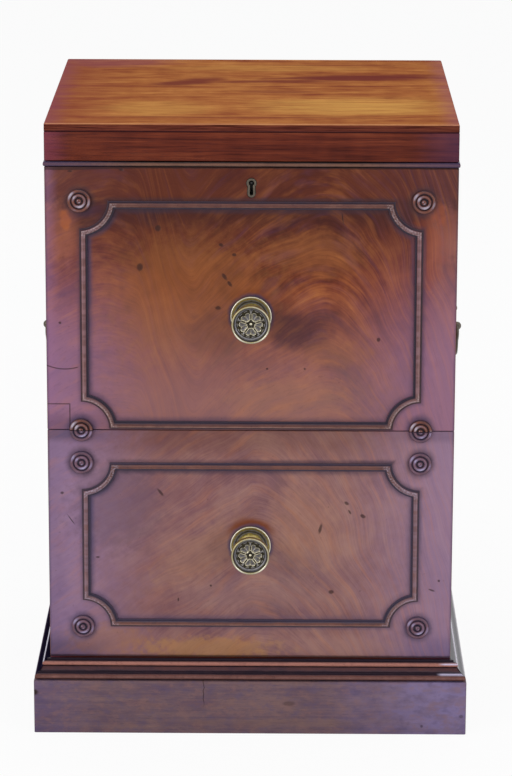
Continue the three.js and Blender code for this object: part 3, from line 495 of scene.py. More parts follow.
def flamed(tree, rise, seed, ripples):
    """Crotch figure whose lines follow a rise across the front, with its bent coordinates. ripples says where
    its fine waves are strongest."""
    x, z = tree.x, tree.z
    bend_x = (tree.noise(x * 0.008, seed, z * 0.008, 1.0) - 0.5) * 40
    bend_z = (tree.noise(x * 0.011, seed + 20, z * 0.011, 2.0) - 0.5) * 30
    across = x + bend_x
    level = z + bend_z - rise(tree, across)
    bands = tree.noise(across * 0.012, level * 0.036 + seed, seed, 3.0, 0.5)
    waves = tree.noise(across * 0.02, level * 0.17, seed + 3, 2.0, 0.5)
    fibres = tree.noise(x * 0.03, level * 0.5 + seed, z * 0.03, 2.0)
    clouds = tree.noise(x * 0.024, seed, z * 0.024, 3.0, 0.55)
    smudges = tree.noise(x * 0.085, seed + 7, z * 0.06, 3.0, 0.6)
    figure = bands * 0.29 + (waves - 0.5) * (ripples(tree) * 0.15 + 0.05) + fibres * 0.16
    return figure + clouds * 0.26 + smudges * 0.1 + 0.095, across, level


def upper_rise(tree, across):
    """Barbs to both sides of a stem on the left, and arches over an axis on the right."""
    beyond = (across - 72).most(0)
    before = (72 - across).most(0)
    from_stem = across + 92
    stem = tree.maths("LOGARITHM", from_stem * from_stem + 1400, math.e)
    reach = from_stem.step(36, -36) * 30 + 24
    return stem * reach - beyond * beyond * 0.0137 - before * before * 0.0025


def lower_rise(tree, across):
    beyond = (across - 4).most(0)
    before = (4 - across).most(0)
    return beyond * beyond * -0.0095 - before * 0.68


def upper_ripples(tree):
    return tree.distance((tree.x - 85) / 110, (tree.z - 540) / 90).step(1.3, 0.3)


def lower_ripples(tree):
    return tree.distance((tree.x - 70) / 120, (tree.z - 220) / 90).step(1.3, 0.3) * 0.35


def panel_field(tree, span):
    """How far a point lies outside a panel's outline (negative inside it), and from its nearest corner."""
    low, high = span
    across = abs(tree.x) - PANEL_HALF
    up = abs(tree.z - (low + high) / 2) - (high - low) / 2
    corner = tree.distance(across, up)
    return across.most(up).most(PANEL_CORNER - corner), corner


def fade(tree, wobble, kind, *figures):
    """One fade of a wash, from 0 or its least value to 1."""
    if kind == "spot":
        return spot(tree, wobble, *figures)
    ragged, low, high, *least = figures
    run = {"up": tree.z, "across": tree.x}.get(kind) or abs(tree.x)
    if ragged:
        run = run + wobble * ragged
    run = run.step(low, high)
    return run * (1 - least[0]) + least[0] if least else run


def old_patch(tree, wobble):
    """The outline of a piece let in at the left end, just over the joint."""
    across = abs(tree.x + 226) - 23
    up = abs(tree.z - 370) - 16
    return (abs(across.most(up)) + wobble * 0.4).step(0.8, 0.25)


def old_crack(tree, wobble):
    bow = (tree.x + 208) / 17
    level = abs(tree.z - (bow * bow * 3 + 426.6)) + wobble * 0.4
    return level.step(0.9, 0.3) * tree.x.step(-192, -195)


def bottom_gap_shadow(tree, wobble):
    """Painted shadow of the ragged gap along the drawer front's lower edge."""
    return (tree.z + wobble * 1.6).step(DRAWER_LOW.z + 3.2, DRAWER_LOW.z + 1.2)


def top_gap_shadow(tree, wobble):
    """Painted shadow along the ragged edge under the lid, deeper towards the left end."""
    deep = tree.x.step(-120, -215) * 2.2 + wobble * 2.4
    return (tree.z + deep).step(CASE_TOP - 1.9, CASE_TOP - 0.9)


def front_dirt_and_shade(tree, wobble, span, knob):
    """Grime and painted shade along both sides of the moulding, deeper on the one away from the light, round
    the roundels, under the knob's plate and at both ends."""
    x, z = tree.x, tree.z
    low, high = span
    field, corner = panel_field(tree, span)
    middle = field + PANEL_MOULDING / 2
    # Painted shade beside the moulding falls to its right, as under light from the left: outside it towards
    # the right end and over the top run, inside it towards the left end
    outside = (field + wobble * 2.4).step(5.5, 0.5) * middle.step(-1, 1)
    outside = outside * (z.step(high - 3, high + 3) * 0.5 + 0.5) * (x.step(-190, 150) * 0.5 + 0.5)
    inside = (-PANEL_MOULDING - field + wobble * 3.2).step(7.5, 1.0) * middle.step(1, -1)
    inside = inside * (z.step(low + 8, high - 20) * 0.35 + 0.65) * (x.step(190, -150) * 0.4 + 0.6)
    # Grime and painted shade round the roundels
    rings = (corner + wobble * 5).step(ROUNDEL_RADIUS + 8, ROUNDEL_RADIUS - 1)
    # Painted contact shade round the knob's plate
    knob_contact_shade = (knob + wobble * 5).step(KNOB_PLATE + 5, KNOB_PLATE)
    ends = (abs(x) + wobble * 1.5).step(HALF_CASE - 3.5, HALF_CASE - 0.5)
    face = tree.y.step(FRONT_Y + 1.4, FRONT_Y + 0.6)
    return strongest((outside, inside * 0.92, rings * 0.75, knob_contact_shade, ends * 0.6)) * face


def front_wood(
    name, span, knob_z, rise, ripples, seed, stops, washes, marks, lines, grime_and_shade_colours, knob_shadow_share, calm_x
):
    """The flamed front, with washes of colour over its figure, some of them painted sheen and painted shade.
    Grime and painted shade lie along its trim, their two colours along the top rail and further down. The
    share given before calm_x is that of a painted shadow of its knob, a redder patch over it, and the figure
    is faintest about calm_x."""
    tree = Material(name)
    x, z = tree.x, tree.z
    figure, across, level = flamed(tree, rise, seed, ripples)
    calm = 1 - (x - calm_x).bell(64) * 0.55
    figure = (figure - FIGURE_MEAN) * (calm - z.step(606, 630) * 0.3) + FIGURE_MEAN
    colour = tree.ramp(figure, stops)
    fine = tree.noise(x * 0.5, tree.y * 0.5, z * 0.12, 3.0, 0.6)
    wobble = (tree.noise(x * 0.1, 3.0, z * 0.1, 3.0, 0.6) - 0.5) * 0.9
    for share, tint, *fades in washes:
        cover = math.prod((fade(tree, wobble, *row) for row in fades), start=share)
        colour = tree.tint(colour, cover, *tint)
    for width, height, shift, detail, start, end, share, tint in FIGURE_TINTS:
        cover = tree.noise(across * width, seed + shift, level * height, detail, 0.6).step(start, end)
        colour = tree.mix(cover * calm * share, colour, tree.tint(colour, 0.5, *tint))
    knob = tree.distance(x, z - knob_z)
    # Painted shadow of the knob, cast up over the front as a darker, redder patch
    glow = (knob + wobble * 6).step(KNOB_PLATE + 13, KNOB_PLATE + 4) * (z - knob_z).step(6, 24)
    colour = tree.tint(colour, glow * knob_shadow_share, 116, 54, 18)
    # Grime and painted shade along the trim, round the roundels and the knob's plate
    dirt_and_shade = front_dirt_and_shade(tree, wobble, span, knob)
    patchy = tree.noise(x * 0.03, 9.0, z * 0.03, 3.0, 0.6).step(0.3, 0.55) * 0.4 + 0.6
    grime_and_shade = tree.mix(z.step(span[1] + 4, span[1] - 60), tone(*grime_and_shade_colours[0]), tone(*grime_and_shade_colours[1]))
    colour = tree.mix(dirt_and_shade * patchy * 0.86, colour, grime_and_shade)
    # Painted shade on the keyhole's walls, where the light does not reach
    keyhole_shade = tree.distance(x, (z - KEYHOLE_Z) * 0.6).step(7, 5) * tree.y.step(FRONT_Y + 0.6, FRONT_Y + 2)
    colour = tree.tint(colour, keyhole_shade * 0.86, *GRIME_AND_SHADE)
    # Marks, the old patch and crack, and the painted shadows of the gaps at the fronts' edges
    dents = strongest([spot(tree, wobble, *mark) for mark in marks] + [line(tree, wobble) for line in lines])
    specks = tree.noise(x * 0.22, 4.0, z * 0.22, 2.0).step(0.70, 0.76) * 0.35
    colour = tree.tint(colour, dents.most(specks) * 0.74, *MARK_AND_GAP_SHADE)
    edge = abs(x).step(HALF_CASE - 0.7, HALF_CASE - 0.2)
    end_grain = tree.noise(x * 0.06, tree.y * 0.3, z * 0.02, 3.0, 0.6)
    colour = tree.mix(edge * 0.9, colour, tree.ramp(end_grain, SIDE_STOPS))
    height = figure * 0.25 + fine * 0.18 - dents * 1.4
    return tree.finish(colour, fine * 0.12 + dirt_and_shade * 0.2 + 0.33, height, 0.25, 0.2)


upper_wood = front_wood(
    "upper_front_mahogany", UPPER_PANEL, UPPER_KNOB, upper_rise, upper_ripples, 4.0, UPPER_STOPS,
    # Grime and painted shade colours along the top rail and lower down, then the share of the knob's painted
    # shadow
    UPPER_WASHES, UPPER_MARKS, (old_patch, old_crack, top_gap_shadow), ((58, 40, 48), (62, 58, 86)), 0.3, -92
)
lower_wood = front_wood(
    "drawer_front_mahogany", LOWER_PANEL, LOWER_KNOB, lower_rise, lower_ripples, 9.0, LOWER_STOPS,
    # Grime and painted shade colours along the top rail and lower down, then the share of the knob's painted
    # shadow
    LOWER_WASHES, LOWER_MARKS, (bottom_gap_shadow,), ((60, 46, 62), (78, 70, 100)), 0.9, -140
)


def trim_wood(name, seed, stops, gloss=0.3, violet_from=None, panel=None, lights=(), polish=None):
    """Turned and moulded trim: dark where wax and dust gather, light on the crests where they are worn, with
    light and shade painted into the wear of some. panel has the span of a panel moulding, the painted light
    tint of its upright runs and the painted sheen of its corner arcs. lights are the levels and starts of
    painted highlight lines at the right end. polish is a gloss with the wear where it begins."""
    tree = Material(name)
    x, y, z = tree.x, tree.y, tree.z
    wear = tree.attribute("wear")
    rub = (tree.noise(x * 0.06, y * 0.2 + seed, z * 0.06, 3.0, 0.6) - 0.5) * 0.4
    lines = tree.noise(x * 0.3, y * 0.8, z * 0.3 + seed, 3.0)
    colour = tree.tint(tree.ramp(wear + rub, stops), lines.step(0.5, 0.75) * 0.3, *GRIME_AND_SHADE)
    if violet_from:
        ends = abs(x).step(violet_from - 80, HALF_CASE + 10)
        colour = tree.tint(colour, ends * 0.62, 72, 56, 92)
    if panel:
        (low, high), upright_light, sheen = panel
        # Painted light: the upright runs are tinted lighter, as lit from the sides, in broken patches
        upright = abs(x).step(PANEL_HALF - 34, PANEL_HALF - 8) * wear.step(0.18, 0.56)
        light_breaks = tree.noise(3.0, z * 0.11, 5.0, 2.0).step(0.42, 0.6) * 0.6 + 0.4
        colour = tree.tint(colour, upright * light_breaks * 0.72, *upright_light)
        # Painted sheen on the corner arcs, stronger on the upper ones
        corner = panel_field(tree, (low, high))[1]
        ticks = tree.noise(x * 0.5, seed, z * 0.5, 2.0, 0.6).step(0.38, 0.6)
        higher = z.step(low + 30, high - 30) * 0.5 + 0.5
        arcs = corner.step(PANEL_CORNER + 12, PANEL_CORNER + 8) * wear.step(0.34, 0.7) * ticks * higher
        colour = tree.tint(colour, arcs * 0.75, *sheen)
    # Painted highlight lines along the crests at the right end
    for level, start in lights:
        line = (z - level).bell(0.8) * (x + rub * 20).step(start, start + 8)
        colour = tree.tint(colour, line * 0.85, 216, 208, 234)
    roughness = rub * 0.3 + 0.34
    if polish:
        most, start = polish
        crest = wear.step(start, 0.74)
        gloss = crest * most
        roughness = 0.5 - crest * 0.36
    return tree.finish(colour, roughness, lines, 0.1, gloss)


# Seed, stops and settings of each trim
TRIMS = {
    "panel_trim": (
        1.0,
        ((0.08, 48, 38, 54), (0.3, 76, 46, 50), (0.5, 98, 58, 50), (0.95, 168, 134, 122)),
        # After its span, a panel trim has its painted light on the upright runs and its painted sheen on the
        # corner arcs
        {"panel": (UPPER_PANEL, (148, 112, 120), (196, 184, 190))},
    ),
    "lower_trim": (
        2.0,
        ((0.08, 58, 48, 68), (0.3, 76, 54, 62), (0.5, 108, 66, 56), (0.95, 160, 122, 112)),
        {"panel": (LOWER_PANEL, (142, 116, 132), (190, 182, 204))},
    ),
    "roundel_trim": (
        3.0,
        ((0.08, 42, 32, 46), (0.3, 72, 48, 54), (0.5, 116, 66, 50), (0.62, 124, 98, 106),
         (0.84, 176, 164, 178)),
        {},
    ),
    "lower_roundel_trim": (
        4.0,
        ((0.08, 56, 46, 72), (0.3, 78, 60, 80), (0.52, 110, 76, 88), (0.7, 128, 108, 136),
         (0.9, 168, 158, 190)),
        {},
    ),
    "base_trim": (
        4.0,
        ((0.08, 38, 27, 38), (0.3, 68, 43, 50), (0.55, 98, 58, 50), (0.72, 112, 77, 72),
         (0.98, 167, 112, 100)),
        # lights paint highlight lines at the right end of the front base moulding
        {"gloss": 0.16, "lights": ((BASE_LOW + 8.0, 212), (BASE_HIGH - 3.6, 214))},
    ),
    # The side base trims' palest stops paint highlights along the crests, and the right trim is a lighter
    # copy of the left, painted as the lit side
    "left_base_trim": (
        6.0,
        ((0.08, 24, 20, 40), (0.4, 48, 38, 58), (0.6, 92, 74, 100), (0.76, 176, 168, 194)),
        {"polish": (0.3, 0.5)},
    ),
    "right_base_trim": (
        7.0,
        ((0.08, 42, 34, 56), (0.4, 74, 62, 82), (0.6, 114, 98, 120), (0.76, 180, 172, 196)),
        {"polish": (1.0, -1.5)},
    ),
    "bead_trim": (
        5.0,
        ((0.08, 20, 14, 18), (0.45, 54, 36, 32), (0.95, 116, 82, 68)),
        {"gloss": 0.2, "violet_from": 190},
    ),
}
trims = {name: trim_wood(name, seed, stops, **settings) for name, (seed, stops, settings) in TRIMS.items()}

# Metal
KNOB_STOPS = (
    (0.02, 20, 18, 22), (0.2, 70, 64, 42), (0.34, 112, 110, 116), (0.42, 132, 129, 130), (0.5, 124, 114, 70),
    (0.56, 170, 152, 88), (0.66, 161, 154, 133), (0.78, 192, 185, 163), (0.98, 224, 218, 202),
)
BRASS_STOPS = ((0.05, 48, 38, 24), (0.35, 112, 92, 52), (0.6, 164, 142, 86), (0.95, 214, 194, 136))
DULL_STOPS = ((0.05, 30, 27, 28), (0.35, 58, 53, 50), (0.6, 92, 85, 76), (0.95, 138, 130, 118))
SHEET_STOPS = ((0.36, 72, 72, 74), (0.52, 112, 114, 116), (0.68, 146, 148, 148))


def brass(name, stops, seed=0.0, dark_under=None):
    """Aged brass: nearly black in the recesses, olive on the flats and bright on the rims where they are
    worn, with highlights painted into the knobs' wear. Under a level it may be black, painted shade with dust
    and old oil."""
    tree = Material(name)
    wear = tree.attribute("wear")
    spots = tree.noise(tree.x * 0.35, tree.y * 0.35 + seed, tree.z * 0.35, 4.0, 0.62)
    shade = wear + (spots - 0.5) * 0.3
    colour = tree.ramp(shade, stops)
    rough = (spots - 0.5) * 0.3 + 0.56 - wear * 0.26
    metal = shade.step(0.0, 0.3) * 0.3 + 0.7
    if dark_under:
        # Painted shade with dust and old oil on the lock below this level, where it is seen through the
        # keyhole
        black = tree.z.step(dark_under, dark_under - 2)
        colour = tree.tint(colour, black, 16, 12, 12)
        metal = metal * (1 - black)
    return tree.finish(colour, rough, spots, 0.08, metal=metal)


def sheet_metal(name):
    """Dull grey sheet with pale bloom and dark water marks."""
    tree = Material(name)
    clouds = tree.noise(tree.x * 0.02, tree.y * 0.02, tree.z * 0.02, 5.0, 0.6)
    return tree.finish(tree.ramp(clouds, SHEET_STOPS), clouds * 0.3 + 0.35, clouds, 0.4, metal=0.55)


knob_brass = brass("knob_brass", KNOB_STOPS)
plain_brass = brass("plain_brass", BRASS_STOPS, 6.0)
dull_brass = brass("dull_brass", DULL_STOPS, 8.0)
lock_brass = brass("lock_brass", BRASS_STOPS, 6.0, CASE_TOP - 4)
lining = sheet_metal("lining_metal")

# Meshes


def put(name, data):
    """A new object in the scene."""
    made = bpy.data.objects.new(name, data)
    bpy.context.scene.collection.objects.link(made)
    return made


def settle(name, shape, material, body, nodes, crease=CREASE):
    """An object of that shape on its body, smooth but for the edges that turn more than the crease."""
    bmesh.ops.recalc_face_normals(shape, faces=shape.faces)
    for face in shape.faces:
        face.smooth = True
    for edge in shape.edges:
        edge.smooth = len(edge.link_faces) == 2 and edge.calc_face_angle(0.0) < crease
    mesh = bpy.data.meshes.new(name)
    shape.to_mesh(mesh)
    shape.free()
    mesh.materials.append(material)
    made = put(name, mesh)
    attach(made, body)
    if nodes:
        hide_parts(*nodes)


def in_place(node, shape, material, crease=CREASE, kind="fine"):
    """A finer shape in the place of a node, on the same body."""
    settle(f"{node}_{kind}", shape, material, frame["nodes"][node]["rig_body"], (node,), crease)


def bell(value, width):
    return math.exp(-((value / width) ** 2))


def rise(value, low, high):
    share = min(max((value - low) / (high - low), 0), 1)
    return share * share * (3 - 2 * share)


def arc(centre, radii, start, end, steps):
    """Points on an elliptic arc between two angles in radians."""
    points = []
    for step in range(steps + 1):
        angle = start + (end - start) * step / steps
        points.append((centre[0] + radii[0] * math.cos(angle), centre[1] + radii[1] * math.sin(angle)))
    return points


def new_shape():
    """An empty shape and the layer that holds the wear of its points, with any light and shade painted into
    it.
    """
    shape = bmesh.new()
    return shape, shape.verts.layers.float.new("wear")


def add_rows(shape, layer, rows, capped):
    """Faces through rows of points with their wear, and over both ends. Without caps the last row joins the
    first."""
    rings = []
    for row in rows:
        ring = []
        for x, y, z, wear in row:
            corner = shape.verts.new(Vector((x, y, z)) * MM)
            corner[layer] = wear
            ring.append(corner)
        rings.append(ring)
    for index in range(len(rings) - 1 if capped else len(rings)):
        here, there = rings[index], rings[(index + 1) % len(rings)]
        for column in range(len(here)):
            beside = (column + 1) % len(here)
            shape.faces.new((here[column], here[beside], there[beside], there[column]))
    if not capped:
        return []
    return [shape.faces.new(rings[0]), shape.faces.new(list(reversed(rings[-1])))]


def lofted(rows, capped):
    shape, layer = new_shape()
    bmesh.ops.triangulate(shape, faces=add_rows(shape, layer, rows, capped))
    return shape


def turned(profile, turns, place):
    """A body turned about an axis out of the front. Its profile has a radius, a height and a wear."""
    shape, layer = new_shape()
    rings = []
    for radius, height, wear in profile:
        ring = []
        for turn in range(turns if radius > 0 else 1):
            angle = FULL_TURN * turn / turns
            reach = Vector((radius * math.cos(angle), -height, radius * math.sin(angle)))
            corner = shape.verts.new((Vector(place) + reach) * MM)
            corner[layer] = wear
            ring.append(corner)
        rings.append(ring)
    for here, there in zip(rings, rings[1:]):
        for turn in range(turns):
            beside = (turn + 1) % turns
            corners = [here[turn % len(here)], here[beside % len(here)]]
            corners += [there[beside % len(there)], there[turn % len(there)]]
            shape.faces.new(list(dict.fromkeys(corners)))
    return shape


BOARD_EASING = 0.7
EASED_WEAR = 0.62
WELD = 0.01


def eased(node, material, easing):
    """A copy of a frame board with its outer edges eased."""
    shape = bmesh.new()
    shape.from_mesh(frame["nodes"][node].data)
    layer = shape.verts.layers.float.new("wear")
    bmesh.ops.remove_doubles(shape, verts=shape.verts, dist=WELD * MM)
    bmesh.ops.dissolve_limit(shape, angle_limit=math.radians(1), verts=shape.verts, edges=shape.edges)
    bmesh.ops.recalc_face_normals(shape, faces=shape.faces)
    sharp = []
    for edge in shape.edges:
        if len(edge.link_faces) == 2 and edge.is_convex and edge.calc_face_angle(0.0) > CREASE:
            sharp.append(edge)
    settings = {"segments": 2, "profile": 0.5, "affect": "EDGES", "clamp_overlap": True}
    bmesh.ops.bevel(shape, geom=sharp, offset=easing * MM, **settings)
    bmesh.ops.triangulate(shape, faces=[face for face in shape.faces if len(face.verts) > 4])
    for corner in shape.verts:
        corner[layer] = EASED_WEAR
    in_place(node, shape, material, kind="eased")


# Panel mouldings
ASTRAGAL_HEIGHT = 4.2
FILLET_WIDTH = 1.5
FILLET_HEIGHT = 1.3
FILLET_QUIRK = 0.5
CORNER_STEPS = 20
ROUND_STEPS = 14


def panel_outline(span, inset):
    low, high = span
    radius = PANEL_CORNER + inset
    start = math.asin(inset / radius)
    corners = ((PANEL_HALF, high), (-PANEL_HALF, high), (-PANEL_HALF, low), (PANEL_HALF, low))
    loop = []
    for turn, corner in enumerate(corners):
        zero = (turn - 1) * QUARTER
        loop += arc(corner, (radius, radius), zero - start, zero - QUARTER + start, CORNER_STEPS)
    return loop


def astragal():
    """The moulding's section with its wear: distance from the outer edge, height and wear."""
    middle = PANEL_MOULDING / 2
    foot = FILLET_HEIGHT - FILLET_QUIRK
    section = [(0, 0, 0), (0, FILLET_HEIGHT, 0.3), (FILLET_WIDTH, FILLET_HEIGHT, 0.12)]
    radii = (middle - FILLET_WIDTH, ASTRAGAL_HEIGHT - foot)
    for across, up in arc((middle, foot), radii, math.pi, 0, ROUND_STEPS):
        section.append((across, up, ((up - foot) / radii[1]) ** 2 * 0.9))
    outer = PANEL_MOULDING
    section += [(outer - FILLET_WIDTH, FILLET_HEIGHT, 0.12), (outer, FILLET_HEIGHT, 0.3), (outer, 0, 0)]
    return section


def trim_wear_and_light(share, crest, outward):
    """Wear across the moulding, from 0 at its outer edge to 1 inside: a redder crest, with painted light and
    shade by which way the run faces, two lighter lines and darker edges.
    """
    side = outward.x**2
    above = max(outward.y, 0) ** 2
    below = max(-outward.y, 0) ** 2
    wear = 0.08 + 0.42 * crest
    # Painted highlight lines: an outer one on upright runs and on runs facing down, an inner one on runs
    # facing up
    wear += bell(share - 0.3, 0.11) * (0.42 * side + 0.1 * above + 0.5 * below)
    wear += bell(share - 0.72, 0.1) * (0.1 * side + 0.42 * above)
    # Painted shade: the inner edge of upright runs and of runs facing down, the outer edge of runs facing up
    wear -= bell(share - 0.9, 0.14) * 0.4 * (side + below) + bell(share - 0.25, 0.2) * 0.2 * above
    return min(max(wear, 0), 1)


def panel_moulding(node, span, material):
    outer = panel_outline(span, 0)
    inner = panel_outline(span, PANEL_MOULDING)
    outward = [(Vector(far) - Vector(near)).normalized() for far, near in zip(outer, inner)]
    rows = []
    for inset, height, crest in astragal():
        row = []
        for (x, z), direction in zip(panel_outline(span, inset), outward):
            row.append((x, TRIM_Y - height, z, trim_wear_and_light(inset / PANEL_MOULDING, crest, direction)))
        rows.append(row)
    in_place(node, lofted(rows, False), material)


panel_moulding("upper_panel_moulding", UPPER_PANEL, trims["panel_trim"])
panel_moulding("lower_panel_moulding", LOWER_PANEL, trims["lower_trim"])

# Roundels
RIM_HEIGHT = 1.1
RING_WIDTH = 4.2
RING_HEIGHT = 3.6
RING_GROOVE = 0.6
DOME_WIDTH = 4.1
DOME_HEIGHT = 4.4
DOME_OUTER = ROUNDEL_RADIUS - RING_WIDTH - RING_GROOVE
BOSS_RADIUS = 2.9
BOSS_HEIGHT = 4.6
ROUNDEL_TURNS = 64


def roundel_profile():
    profile = [(0, 0, 0), (ROUNDEL_RADIUS, 0, 0)]
    for outer, width, height, near, far in (
        (ROUNDEL_RADIUS, RING_WIDTH, RING_HEIGHT, 0.86, 0.7),
        (DOME_OUTER, DOME_WIDTH, DOME_HEIGHT, 0.84, 0.66),
    ):
        middle = outer - width / 2
        for radius, up in arc((middle, RIM_HEIGHT), (width / 2, height - RIM_HEIGHT), 0, math.pi, 10):
            crest = (up - RIM_HEIGHT) / (height - RIM_HEIGHT)
            inward = (outer - radius) / width
            profile.append((radius, up, (near + (far - near) * inward) * (0.2 + 0.8 * crest)))
    profile.append((BOSS_RADIUS, RIM_HEIGHT, 0.1))
    shoulder = (RIM_HEIGHT + BOSS_HEIGHT) / 2
    for radius, up in arc((0, shoulder), (BOSS_RADIUS, BOSS_HEIGHT - shoulder), 0, QUARTER, 8)[:-1]:
        profile.append((radius, up, 0.4 + 0.3 * bell(radius - 1.5, 0.7)))
    profile.append((0, BOSS_HEIGHT, 0.4))
    return profile


def ring_light(radius, angle):
    """How much lighter a roundel's wear is painted where highlights fall: its outer ring at the upper left
    and the right, the inner one at the left and below."""

    def near(place, width):
        return bell(math.remainder(angle - place, FULL_TURN), width)

    if radius > DOME_OUTER + RING_GROOVE / 2:
        return 0.54 + 0.52 * near(2.5, 0.5) + 0.4 * near(-0.3, 0.5) + 0.2 * near(-2.0, 0.6)
    return 0.72 + 0.36 * near(2.5, 0.45) + 0.44 * near(-1.3, 0.8)


def roundel(node, place, material, keep=0):
    """A roundel, or the upper half (keep 1) or the lower half (keep -1) of one."""
    shape = turned(roundel_profile(), ROUNDEL_TURNS, place)
    layer = shape.verts.layers.float["wear"]
    # Painted highlights on the rings, by angle round the roundel
    for corner in shape.verts:
        spread = corner.co / MM - Vector(place)
        corner[layer] *= ring_light(math.hypot(spread.x, spread.z), math.atan2(spread.z, spread.x))
    if keep:
        level = node_box(node)[0].z if keep > 0 else node_box(node)[1].z
        geometry = [*shape.verts, *shape.edges, *shape.faces]
        plane = {"plane_co": (0, 0, level * MM), "plane_no": (0, 0, -keep), "clear_outer": True}
        bmesh.ops.bisect_plane(shape, geom=geometry, **plane)
        bmesh.ops.contextual_create(shape, geom=[edge for edge in shape.edges if edge.is_boundary])
    in_place(node, shape, material)


for side, end in ((-1, "left"), (1, "right")):
    for part, level, trim, keep in (
        ("top", UPPER_PANEL[1], "roundel_trim", 0),
        ("high", LOWER_PANEL[1], "lower_roundel_trim", 0),
        ("low", LOWER_PANEL[0], "lower_roundel_trim", 0),
        ("joint_upper", JOINT, "roundel_trim", 1),
        ("joint_lower", JOINT, "lower_roundel_trim", -1),
    ):
        roundel(f"roundel_{part}_{end}", (side * PANEL_HALF, TRIM_Y, level), trims[trim], keep)

# Knobs
KNOB_LENGTH = 40.0
KNOB_TURNS = 200
KNOB_CREASE = math.radians(50)
PLATE_THICK = 3.2
PLATE_RIM = 1.8
PLATE_DISH = 1.1
NECK_RADIUS = 7.0
NECK_PLACE = 11.0
FACE_RADIUS = 21.5
FACE_EDGE = 6.5
FACE_BACK = KNOB_LENGTH - FACE_EDGE
FACE_RIM = 2.2
FACE_RECESS = 6.0
FACE_FLOOR = KNOB_LENGTH - FACE_RECESS
ROSETTE_REACH = 16.6
ROSETTE_RINGS = 60
ROSETTE_SHARE = 0.92
PETALS = 5
PETAL_TIP = 15.3
PETAL_NOTCH = 2.3
PETAL_FALL = 3.2
PETAL_ROOT = 3.2
PETAL_FOOT = 3.9
PETAL_RIM = 0.95
PETAL_VEIN = 0.7
SEPAL_WIDTH = 1.5
SEPAL_PLACE = 13.6
SEPAL_REACH = 3.6
STUD_RADIUS = 2.1
STUD_HEIGHT = 1.9
STAMEN_PLACE = 3.3
LOBE_PLACE = 6.2
LOBE_HEIGHT = 1.7
CURL_HEIGHT = 0.5
FACE_CHAMFER = 0.5
CHAMFER_START = 0.1
# Widths of painted highlights: the golden one on the neck's fillet fades over this band, and the flare's is
# full this far inside the face's edge
NECK_HIGHLIGHT_FADE = 3.0
FLARE_HIGHLIGHT_INSET = 4.0


def rosette(radius, angle):
    """Height of the rosette over the recess floor: cupped petals with curled rims, sepals and a stud."""
    sector = FULL_TURN / PETALS
    turn = (angle + QUARTER + sector / 2) % sector - sector / 2
    outer = PETAL_TIP - PETAL_NOTCH * bell(turn, 0.15) - PETAL_FALL * (abs(turn) / 0.6) ** 4
    flank = (0.6 * (1 - math.exp((PETAL_ROOT - radius) / 1.1)) - abs(turn)) * radius
    edge = min(outer - radius, flank, radius - PETAL_FOOT)
    petal = rise(edge, -0.1, 0.6) * (0.3 + 1.6 * bell(edge - PETAL_RIM, PETAL_RIM))
    petal += PETAL_VEIN * bell(turn * radius, 0.6) * rise(edge, 1.4, 2.4)
    between = (sector / 2 - abs(turn)) * radius
    sepal_edge = SEPAL_WIDTH * (1 - ((radius - SEPAL_PLACE) / SEPAL_REACH) ** 2) - between
    sepal = rise(sepal_edge, 0, 0.5) * (0.6 + 0.3 * bell(between, 0.5))
    stud = STUD_HEIGHT * math.sqrt(max(0, 1 - (radius / STUD_RADIUS) ** 2))
    stamens = bell(radius - STAMEN_PLACE, 0.5) * (0.45 + 0.55 * math.cos(10 * angle))
    lobes = LOBE_HEIGHT * bell(radius - LOBE_PLACE, 1.0) * bell(between, 1.1)
    waves = 1 + math.cos(FULL_TURN * (angle + 0.12) / sector * 3)
    curls = CURL_HEIGHT * bell(radius - ROSETTE_REACH, 0.8) * waves
    return max(petal, sepal, stud, stamens, lobes, curls, 0)


def knob_body_profile():
    """The plate with its rim and dish, and the neck that flares out to the face."""
    floor = PLATE_THICK - PLATE_DISH
    half_rim = PLATE_RIM / 2
    profile = [(0, 0, 0.2), (KNOB_PLATE, 0, 0.2)]
    centre = (KNOB_PLATE - half_rim, PLATE_THICK - half_rim)
    for radius, up in arc(centre, (half_rim, half_rim), 0, math.pi, 10):
        profile.append((radius, up, 0.6 + 0.4 * math.sin(math.pi * (KNOB_PLATE - radius) / PLATE_RIM)))
    dish = KNOB_PLATE - 2 * PLATE_RIM
    middle = (KNOB_PLATE + NECK_RADIUS) / 2
    reach = (KNOB_PLATE - NECK_RADIUS) / 2
    profile += [(dish, floor, 0.48), ((dish + middle) / 2, floor, 0.15)]
    # A painted golden highlight on the fillet up to the neck
    for radius, up in arc((middle, NECK_PLACE), (reach, NECK_PLACE - floor), -QUARTER, -math.pi, 14):
        profile.append((radius, up, 0.57 - 0.07 * rise(radius, middle - NECK_HIGHLIGHT_FADE, middle)))
    flare = FACE_RADIUS - FACE_RIM
    radii = (flare - NECK_RADIUS, FACE_BACK - NECK_PLACE)
    # A painted highlight on the flare, growing lighter towards the face
    for radius, up in arc((flare, NECK_PLACE), radii, math.pi, QUARTER, 18)[1:]:
        profile.append((radius, up, 0.51 + 0.24 * rise(radius, NECK_RADIUS, FACE_RADIUS - FLARE_HIGHLIGHT_INSET)))
    return profile


